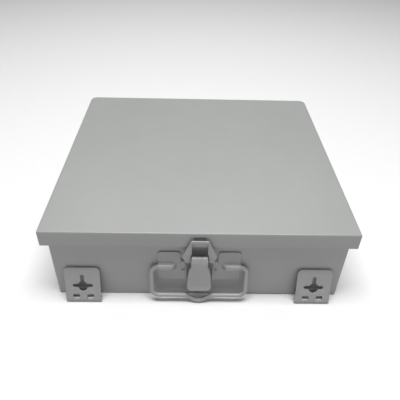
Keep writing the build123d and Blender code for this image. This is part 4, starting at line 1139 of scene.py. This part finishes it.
class TERMBOX_OT_tray(bpy.types.Operator):
    """Make the splice tray on its posts, its splice holders and its clear hinged cover"""

    bl_idname = "termbox.tray"
    bl_label = "Splice tray"

    def execute(self, context):
        low = limits("splice_tray")[0]
        axis = pivot("tray_cover_swing")
        half_x, half_y, height, wall, corner = 100.0, 56.0, 13.0, 2.0, 10.0
        barrel, knuckle, hinge_out = 2.0, 9.7, 2.3
        x0, y0 = axis.x, axis.y - hinge_out - half_y
        base = low.z

        def ring(inset, z):
            return wall_ring(half_x - inset, half_y - inset, corner - inset, corner - inset, base + z)

        rings = [ring(i, 0) for i in (54, 30, 8, 1.0)]
        rings += [ring(1.0 - x, 1.0 + z) for x, z in arc(0, 0, 1.0, -60, 0, 3)]
        rings += [ring(0.35 - x, height - 0.35 + z) for x, z in arc(0, 0, 0.35, 0, 90, 3)]
        rings += [ring(wall - 0.35 + x, height - 0.35 + z) for x, z in reversed(arc(0, 0, 0.35, 0, 90, 3))]
        rings += [ring(wall + 1.2 - x, wall + 1.2 + z) for x, z in arc(0, 0, 1.2, 0, -90, 4)]
        rings += [ring(i, wall) for i in (8, 30, 54)]
        tray = Piece().loft(rings)
        for x in (-66.0, 66.0):
            loop = [(26, wall - 0.4), (26, 9.7), (25.7, 10), (24.3, 10), (24, 9.7), (24, wall - 0.4),
                    (26, wall - 0.4)]
            tray.turned(loop, at(x, 0, base), 48)
            for turn in (45, 135, 225, 315):
                tab = rounded([(23.0, -4, 0), (23.0, 4, 0), (17.5, 4, 2.5), (17.5, -4, 2.5)], 4)
                tray.plate(tab, [], 1.4, at(x, 0, base + 9.3, (turn, "Z")), 0.3)
        for x, y, turn in ((-40, -54, 0), (0, -54, 0), (40, -54, 0), (-40, 54, 180), (40, 54, 180)):
            tab = rounded([(-6, -1, 0), (6, -1, 0), (6, 6, 2.5), (-6, 6, 2.5)], 4)
            tray.plate(tab, [], 1.4, at(x, y, base + height - 0.8, (turn, "Z")), 0.3)
        for start in (-80.0, 60.0):
            middle = half_y + hinge_out
            tray.along_x(circle(middle, axis.z, barrel, 24), start, start + knuckle)
            tray.block((start, half_y - 0.6, axis.z - barrel), (start + knuckle, middle, axis.z))
        shift = Matrix.Translation((x0, y0, 0))
        tray.vertices = [tuple(shift @ Vector(v)) for v in tray.vertices]
        tray.make("splice_tray_moulding", "case", "tray_plastic", ["splice_tray"], bevel=0.2)

        cover = Piece()
        bottom = base + height + 0.3
        corners = [(-half_x, -half_y, corner), (-9, -half_y, 1.2), (-7, -half_y + 7.5, 5),
                   (7, -half_y + 7.5, 5), (9, -half_y, 1.2), (half_x, -half_y, corner),
                   (half_x, half_y, corner), (-half_x, half_y, corner)]
        cover.plate(rounded(corners, 8), [], 1.6, at(x0, y0, bottom + 0.8), 0.35)
        for start in (-70.0, 70.0):
            cover.along_x(circle(axis.y, axis.z, barrel, 24), x0 + start, x0 + start + knuckle)
            strap = [(axis.y - 0.8, axis.z), (axis.y + 0.8, axis.z), (axis.y + 0.8, bottom + 1.6),
                     (axis.y - 5.3, bottom + 1.6), (axis.y - 5.3, bottom), (axis.y - 0.8, bottom)]
            cover.along_x(strap, x0 + start, x0 + start + knuckle)
        cover.make("clear_cover", "tray_cover", "clear_plastic", ["tray_cover"], bevel=0.15)

        pins = Piece()
        for start in (-80.0, 60.0):
            pins.pin(axis, start, start + 10 + knuckle, 0.7, 1, 0.3, 16)
        pins.make("cover_hinge_pins", "case", "zinc_steel", ["tray_cover_pins"])

        posts, screws = Piece(), Piece()
        for x in (x0 - 90, x0 + 90):
            for y in (y0 - 46, y0 + 46):
                post = [(0, 1.2), (3.7, 1.2), (4, 1.5), (4, 12.9), (3.7, 13.2), (0, 13.2)]
                posts.turned(post, at(x, y, 0), 6)
                screw(screws, x, y, base + wall, 8)
        posts.make("hex_tray_posts", "case", "zinc_steel", ["tray_posts"], bevel=0.15)
        screws.make("tray_cross_screws", "case", "zinc_steel", ["tray_screws"])

        for name in ("front", "rear"):
            node = "splice_holder_" + name
            low, high = limits(node)
            count = 6
            pitch = (high.y - low.y) / count
            comb = [(low.y, low.z), (low.y, high.z - 0.6), (low.y + 0.3, high.z)]
            for i in range(count):
                middle = low.y + (i + 0.5) * pitch
                comb += arc(middle, high.z, pitch * 0.36, 180, 360, 10)
            comb += [(high.y - 0.3, high.z), (high.y, high.z - 0.6), (high.y, low.z)]
            holder = Piece()
            for start, end in ((0.0, 0.3), (0.36, 0.64), (0.7, 1.0)):
                holder.along_x(comb, low.x + (high.x - low.x) * start, low.x + (high.x - low.x) * end)
            holder.block((low.x + 0.5, low.y + 0.4, low.z), (high.x - 0.5, high.y - 0.4, low.z + 2.2))
            holder.make("sleeve_comb_" + name, "case", "holder_rubber", [node], bevel=0.2)
        return {"FINISHED"}


# Half width, half height, corner radius and height of each ring, from one end to the other.
ADAPTER_RINGS = (
    (3.9, 5.7, 0.4, -13.5), (4.3, 6.1, 0.5, -13.5), (4.7, 6.5, 0.6, -13.1), (4.7, 6.5, 0.6, -10.6),
    (4.45, 6.25, 0.5, -10.4), (4.45, 6.25, 0.5, 10.4), (4.7, 6.5, 0.6, 10.5), (4.7, 6.5, 0.6, 13.1),
    (4.3, 6.1, 0.5, 13.5), (3.9, 5.7, 0.4, 13.5), (3.5, 5.3, 0.3, 12.8), (3.5, 5.3, 0.3, -12.8),
)
CAP_RINGS = (
    (3.2, 5.0, 0.3, 6.6), (3.3, 5.1, 0.3, 7.0), (3.3, 5.1, 0.3, 13.5), (4.6, 6.4, 0.5, 13.5),
    (4.7, 6.5, 0.6, 13.8), (4.7, 6.5, 0.6, 15.6), (4.4, 6.2, 0.8, 16.0),
)


class TERMBOX_OT_adapters(bpy.types.Operator):
    """Make the adapter panel, its eight fibre adapters and their dust caps"""

    bl_idname = "termbox.adapters"
    bl_label = "Adapter panel"

    def execute(self, context):
        low, high = limits("adapter_panel")
        axis_z = low.z + 24.0
        places = [centre("adapter_" + str(i)).x for i in range(1, 9)]
        panel = Piece()
        outline = rounded([(low.x, low.z + 1.2, 0), (high.x, low.z + 1.2, 0), (high.x, high.z, 4),
                           (low.x, high.z, 4)], 6)
        window = rounded([(-4.75, -6.55, 0.4), (4.75, -6.55, 0.4), (4.75, 6.55, 0.4), (-4.75, 6.55, 0.4)], 2)
        holes = [[(x + u, axis_z + v) for u, v in window] for x in places]
        panel.plate(outline, holes, 1.5, at(0, low.y + 0.75, 0) @ FRONT_FACING)
        path = rounded([(low.y + 0.75, low.z + 3.4, 0), (low.y + 0.75, low.z + 0.75, 1.4),
                        (high.y, low.z + 0.75, 0)], 6, closed=False)
        panel.along_x(ribbon(path, 1.5), low.x, high.x)
        panel.make("adapter_panel_plate", "case", "grey_paint", ["adapter_panel"], bevel=0.2)

        caps = Piece()
        for number, x in enumerate(places, 1):
            node = "adapter_" + str(number)
            low, high = limits(node)
            middle = low.y + 13.5
            body = Piece()
            rings = [box_ring(*ring) for ring in ADAPTER_RINGS]
            place = at(x, middle, axis_z) @ FRONT_FACING
            body.loft(rings, place, joined=True)
            flange = rounded([(-4.7, -11, 1.6), (4.7, -11, 1.6), (4.7, 11, 1.6), (-4.7, 11, 1.6)], 5)
            mouth = rounded([(-3.4, -5.2, 0.3), (3.4, -5.2, 0.3), (3.4, 5.2, 0.3), (-3.4, 5.2, 0.3)], 2)
            eyes = [circle(0, z, 1.1, 20) for z in (-8.7, 8.7)]
            body.plate(flange, [*eyes, mouth], 2.0, place @ at(0, 0, 1.0), 0.25)
            body.block((-4.0, -5.8, -1.4), (4.0, 5.8, 1.4), place)
            body.block((-1.6, 6.3, -10.0), (1.6, 6.5, -2.0), place)
            sleeve = [(1.25, -7), (2.0, -7), (2.2, -6.7), (2.2, 6.7), (2.0, 7), (1.25, 7), (1.25, -7)]
            body.turned(sleeve, place, 20)
            for side in (-1, 1):
                clip = [(side * 4.7, -9.5), (side * 4.7, -3.0), (side * 4.55, -2.2), (side * 4.55, -9.5)]
                body.prism(clip, -2.4, 2.4, place @ Matrix.Rotation(radians(90), 4, "X"))
            body.make("fibre_adapter_" + str(number), "case", "adapter_blue", [node], bevel=0.12)
            for side in (-1, 1):
                turn = place if side < 0 else place @ Matrix.Rotation(pi, 4, "Y")
                caps.loft([box_ring(*ring) for ring in CAP_RINGS], turn)
                for rib in (-3.2, -1.6, 0.0, 1.6, 3.2):
                    caps.block((-4.7, rib - 0.3, 13.9), (-4.55, rib + 0.3, 15.5), turn)
        caps.make("adapter_dust_caps", "case", "cap_plastic", ["dust_caps"], bevel=0.12)
        return {"FINISHED"}


def box_ring(half_x, half_y, radius, z):
    """A small rounded rectangle at a height."""
    corners = ((half_x, -half_y), (half_x, half_y), (-half_x, half_y), (-half_x, -half_y))
    return [(x, y, z) for x, y in rounded([(x, y, radius) for x, y in corners], 3)]


class TERMBOX_OT_spools(bpy.types.Operator):
    """Make the two fibre spools and the screws in the floor"""

    bl_idname = "termbox.spools"
    bl_label = "Fibre spools"

    def execute(self, context):
        screws = Piece()
        for name in ("left", "right"):
            node = "fibre_spool_" + name
            middle = centre(node)
            x, y, z = middle.x, middle.y, limits(node)[0].z
            spool = Piece()
            profile = [(0, 0), (31.6, 0), (32, 0.4), (32, 15.6), (31.6, 16), (30.4, 16), (30, 15.6), (30, 3),
                       (29, 2), (6, 2), (5.4, 3.2), (4.4, 3.4), (3.4, 3.2), (3.0, 2.0), (0, 2)]
            spool.turned(profile, at(x, y, z), 72)
            for i in range(4):
                turn = (45 + 90 * i, "Z")
                finger = rounded([(30.8, -5, 0), (39, -5, 3), (39, 5, 3), (30.8, 5, 0)], 5)
                spool.plate(finger, [], 2.0, at(x, y, z + 15, turn), 0.5)
                window = rounded([(8, -3.5, 3), (26, -8, 3), (26, 8, 3), (8, 3.5, 3)], 4)
                spool.plate(window, [], 0.7, at(x, y, z + 2.2, (90 * i, "Z")), 0.3)
            spool.make("fibre_spool_moulding_" + name, "case", "tray_plastic", [node], bevel=0.15)
            screw(screws, x, y, z + 2.0, 1.9)
        low, high = limits("adapter_panel")
        for side_x in (low.x + 8, high.x - 8):
            screw(screws, side_x, low.y + 10, low.z + 1.5, 1.4)
        screws.make("floor_cross_screws", "case", "zinc_steel", ["floor_screws"])
        return {"FINISHED"}


class TERMBOX_OT_stage(bpy.types.Operator):
    """Make the pale floor, the soft studio lights and the camera"""

    bl_idname = "termbox.stage"
    bl_label = "Stage"

    def execute(self, context):
        scene = context.scene
        mesh = bpy.data.meshes.new("studio_floor")
        reach, depth = 6.0, -0.0004
        square = [(-reach, -reach), (reach, -reach), (reach, reach), (-reach, reach)]
        mesh.from_pydata([(x, y, depth) for x, y in square], [], [(0, 1, 2, 3)])
        mesh.materials.append(bpy.data.materials["finish_studio_floor"])
        floor = bpy.data.objects.new("studio_floor", mesh)
        scene.collection.objects.link(floor)

        world = bpy.data.worlds.new("studio")
        scene.world = world
        world.use_nodes = True
        sky = world.node_tree.nodes["Background"]
        sky.inputs["Color"].default_value = (1, 1, 1, 1)
        sky.inputs["Strength"].default_value = 0.24

        for name, place, aim, wide, deep, power in (
            ("overhead softbox", (0.0, -0.28, 1.7), (0.0, -0.1, 0.05), 1.2, 0.6, 36.0),
            ("rear card", (0.0, 1.05, 1.25), (0.0, -0.1, 0.1), 1.2, 0.4, 4.0),
            ("front lamp", (0.1, -1.35, 1.35), (0.0, -0.1, 0.05), 0.16, 0.16, 3.0),
        ):
            light = bpy.data.lights.new(name, "AREA")
            light.shape = "RECTANGLE"
            light.size, light.size_y, light.energy = wide, deep, power
            lamp = bpy.data.objects.new(name, light)
            lamp.location = place
            lamp.rotation_euler = (Vector(aim) - Vector(place)).to_track_quat("-Z", "Y").to_euler()
            scene.collection.objects.link(lamp)

        lens = bpy.data.cameras.new("camera")
        lens.lens, lens.sensor_width = 39.67, 36.0
        lens.clip_start, lens.clip_end = 0.01, 50.0
        pitch, yaw, roll = radians(38.14), radians(1.55), radians(1.72)
        ahead = Vector((sin(yaw) * cos(pitch), cos(yaw) * cos(pitch), -sin(pitch)))
        right = Vector((cos(yaw), -sin(yaw), 0))
        up = right.cross(ahead)
        across = cos(roll) * right + sin(roll) * up
        upright = -sin(roll) * right + cos(roll) * up
        view = Matrix((across, upright, -ahead)).transposed().to_4x4()
        view.translation = Vector((-0.01064, -0.4974, 0.4116))
        camera = bpy.data.objects.new("camera", lens)
        camera.matrix_world = view
        scene.collection.objects.link(camera)
        scene.camera = camera
        scene.view_settings.view_transform = "Standard"
        return {"FINISHED"}


class TERMBOX_PT_panel(bpy.types.Panel):
    """The box's sizes, colours and pieces"""

    bl_idname = "TERMBOX_PT_panel"
    bl_label = "Fiber termination box"
    bl_space_type = "VIEW_3D"
    bl_region_type = "UI"
    bl_category = "Termination box"

    def draw(self, context):
        layout = self.layout
        for group in (context.scene.termination_box_sizes, context.scene.termination_box_colours):
            box = layout.box()
            for name in group.__annotations__:
                box.prop(group, name)
        for operator in OPERATORS:
            layout.operator(operator.bl_idname)


OPERATORS = (
    TERMBOX_OT_finishes, TERMBOX_OT_case, TERMBOX_OT_lid, TERMBOX_OT_hinge, TERMBOX_OT_latch_plate,
    TERMBOX_OT_lever, TERMBOX_OT_hook, TERMBOX_OT_handle, TERMBOX_OT_ears, TERMBOX_OT_entries,
    TERMBOX_OT_tray, TERMBOX_OT_adapters, TERMBOX_OT_spools, TERMBOX_OT_stage,
)
CLASSES = (TerminationBoxSizes, TerminationBoxColours, *OPERATORS, TERMBOX_PT_panel)


def register():
    """Registers the settings, operators and panel."""
    for cls in CLASSES:
        bpy.utils.register_class(cls)
    bpy.types.Scene.termination_box_sizes = bpy.props.PointerProperty(type=TerminationBoxSizes)
    bpy.types.Scene.termination_box_colours = bpy.props.PointerProperty(type=TerminationBoxColours)


def unregister():
    """Takes them off again."""
    del bpy.types.Scene.termination_box_colours
    del bpy.types.Scene.termination_box_sizes
    for cls in reversed(CLASSES):
        bpy.utils.unregister_class(cls)


def main():
    """Registers the add-on and builds the whole box."""
    register()
    for operator in OPERATORS:
        group, name = operator.bl_idname.split(".")
        getattr(getattr(bpy.ops, group), name)()


if __name__ == "__main__":
    main()
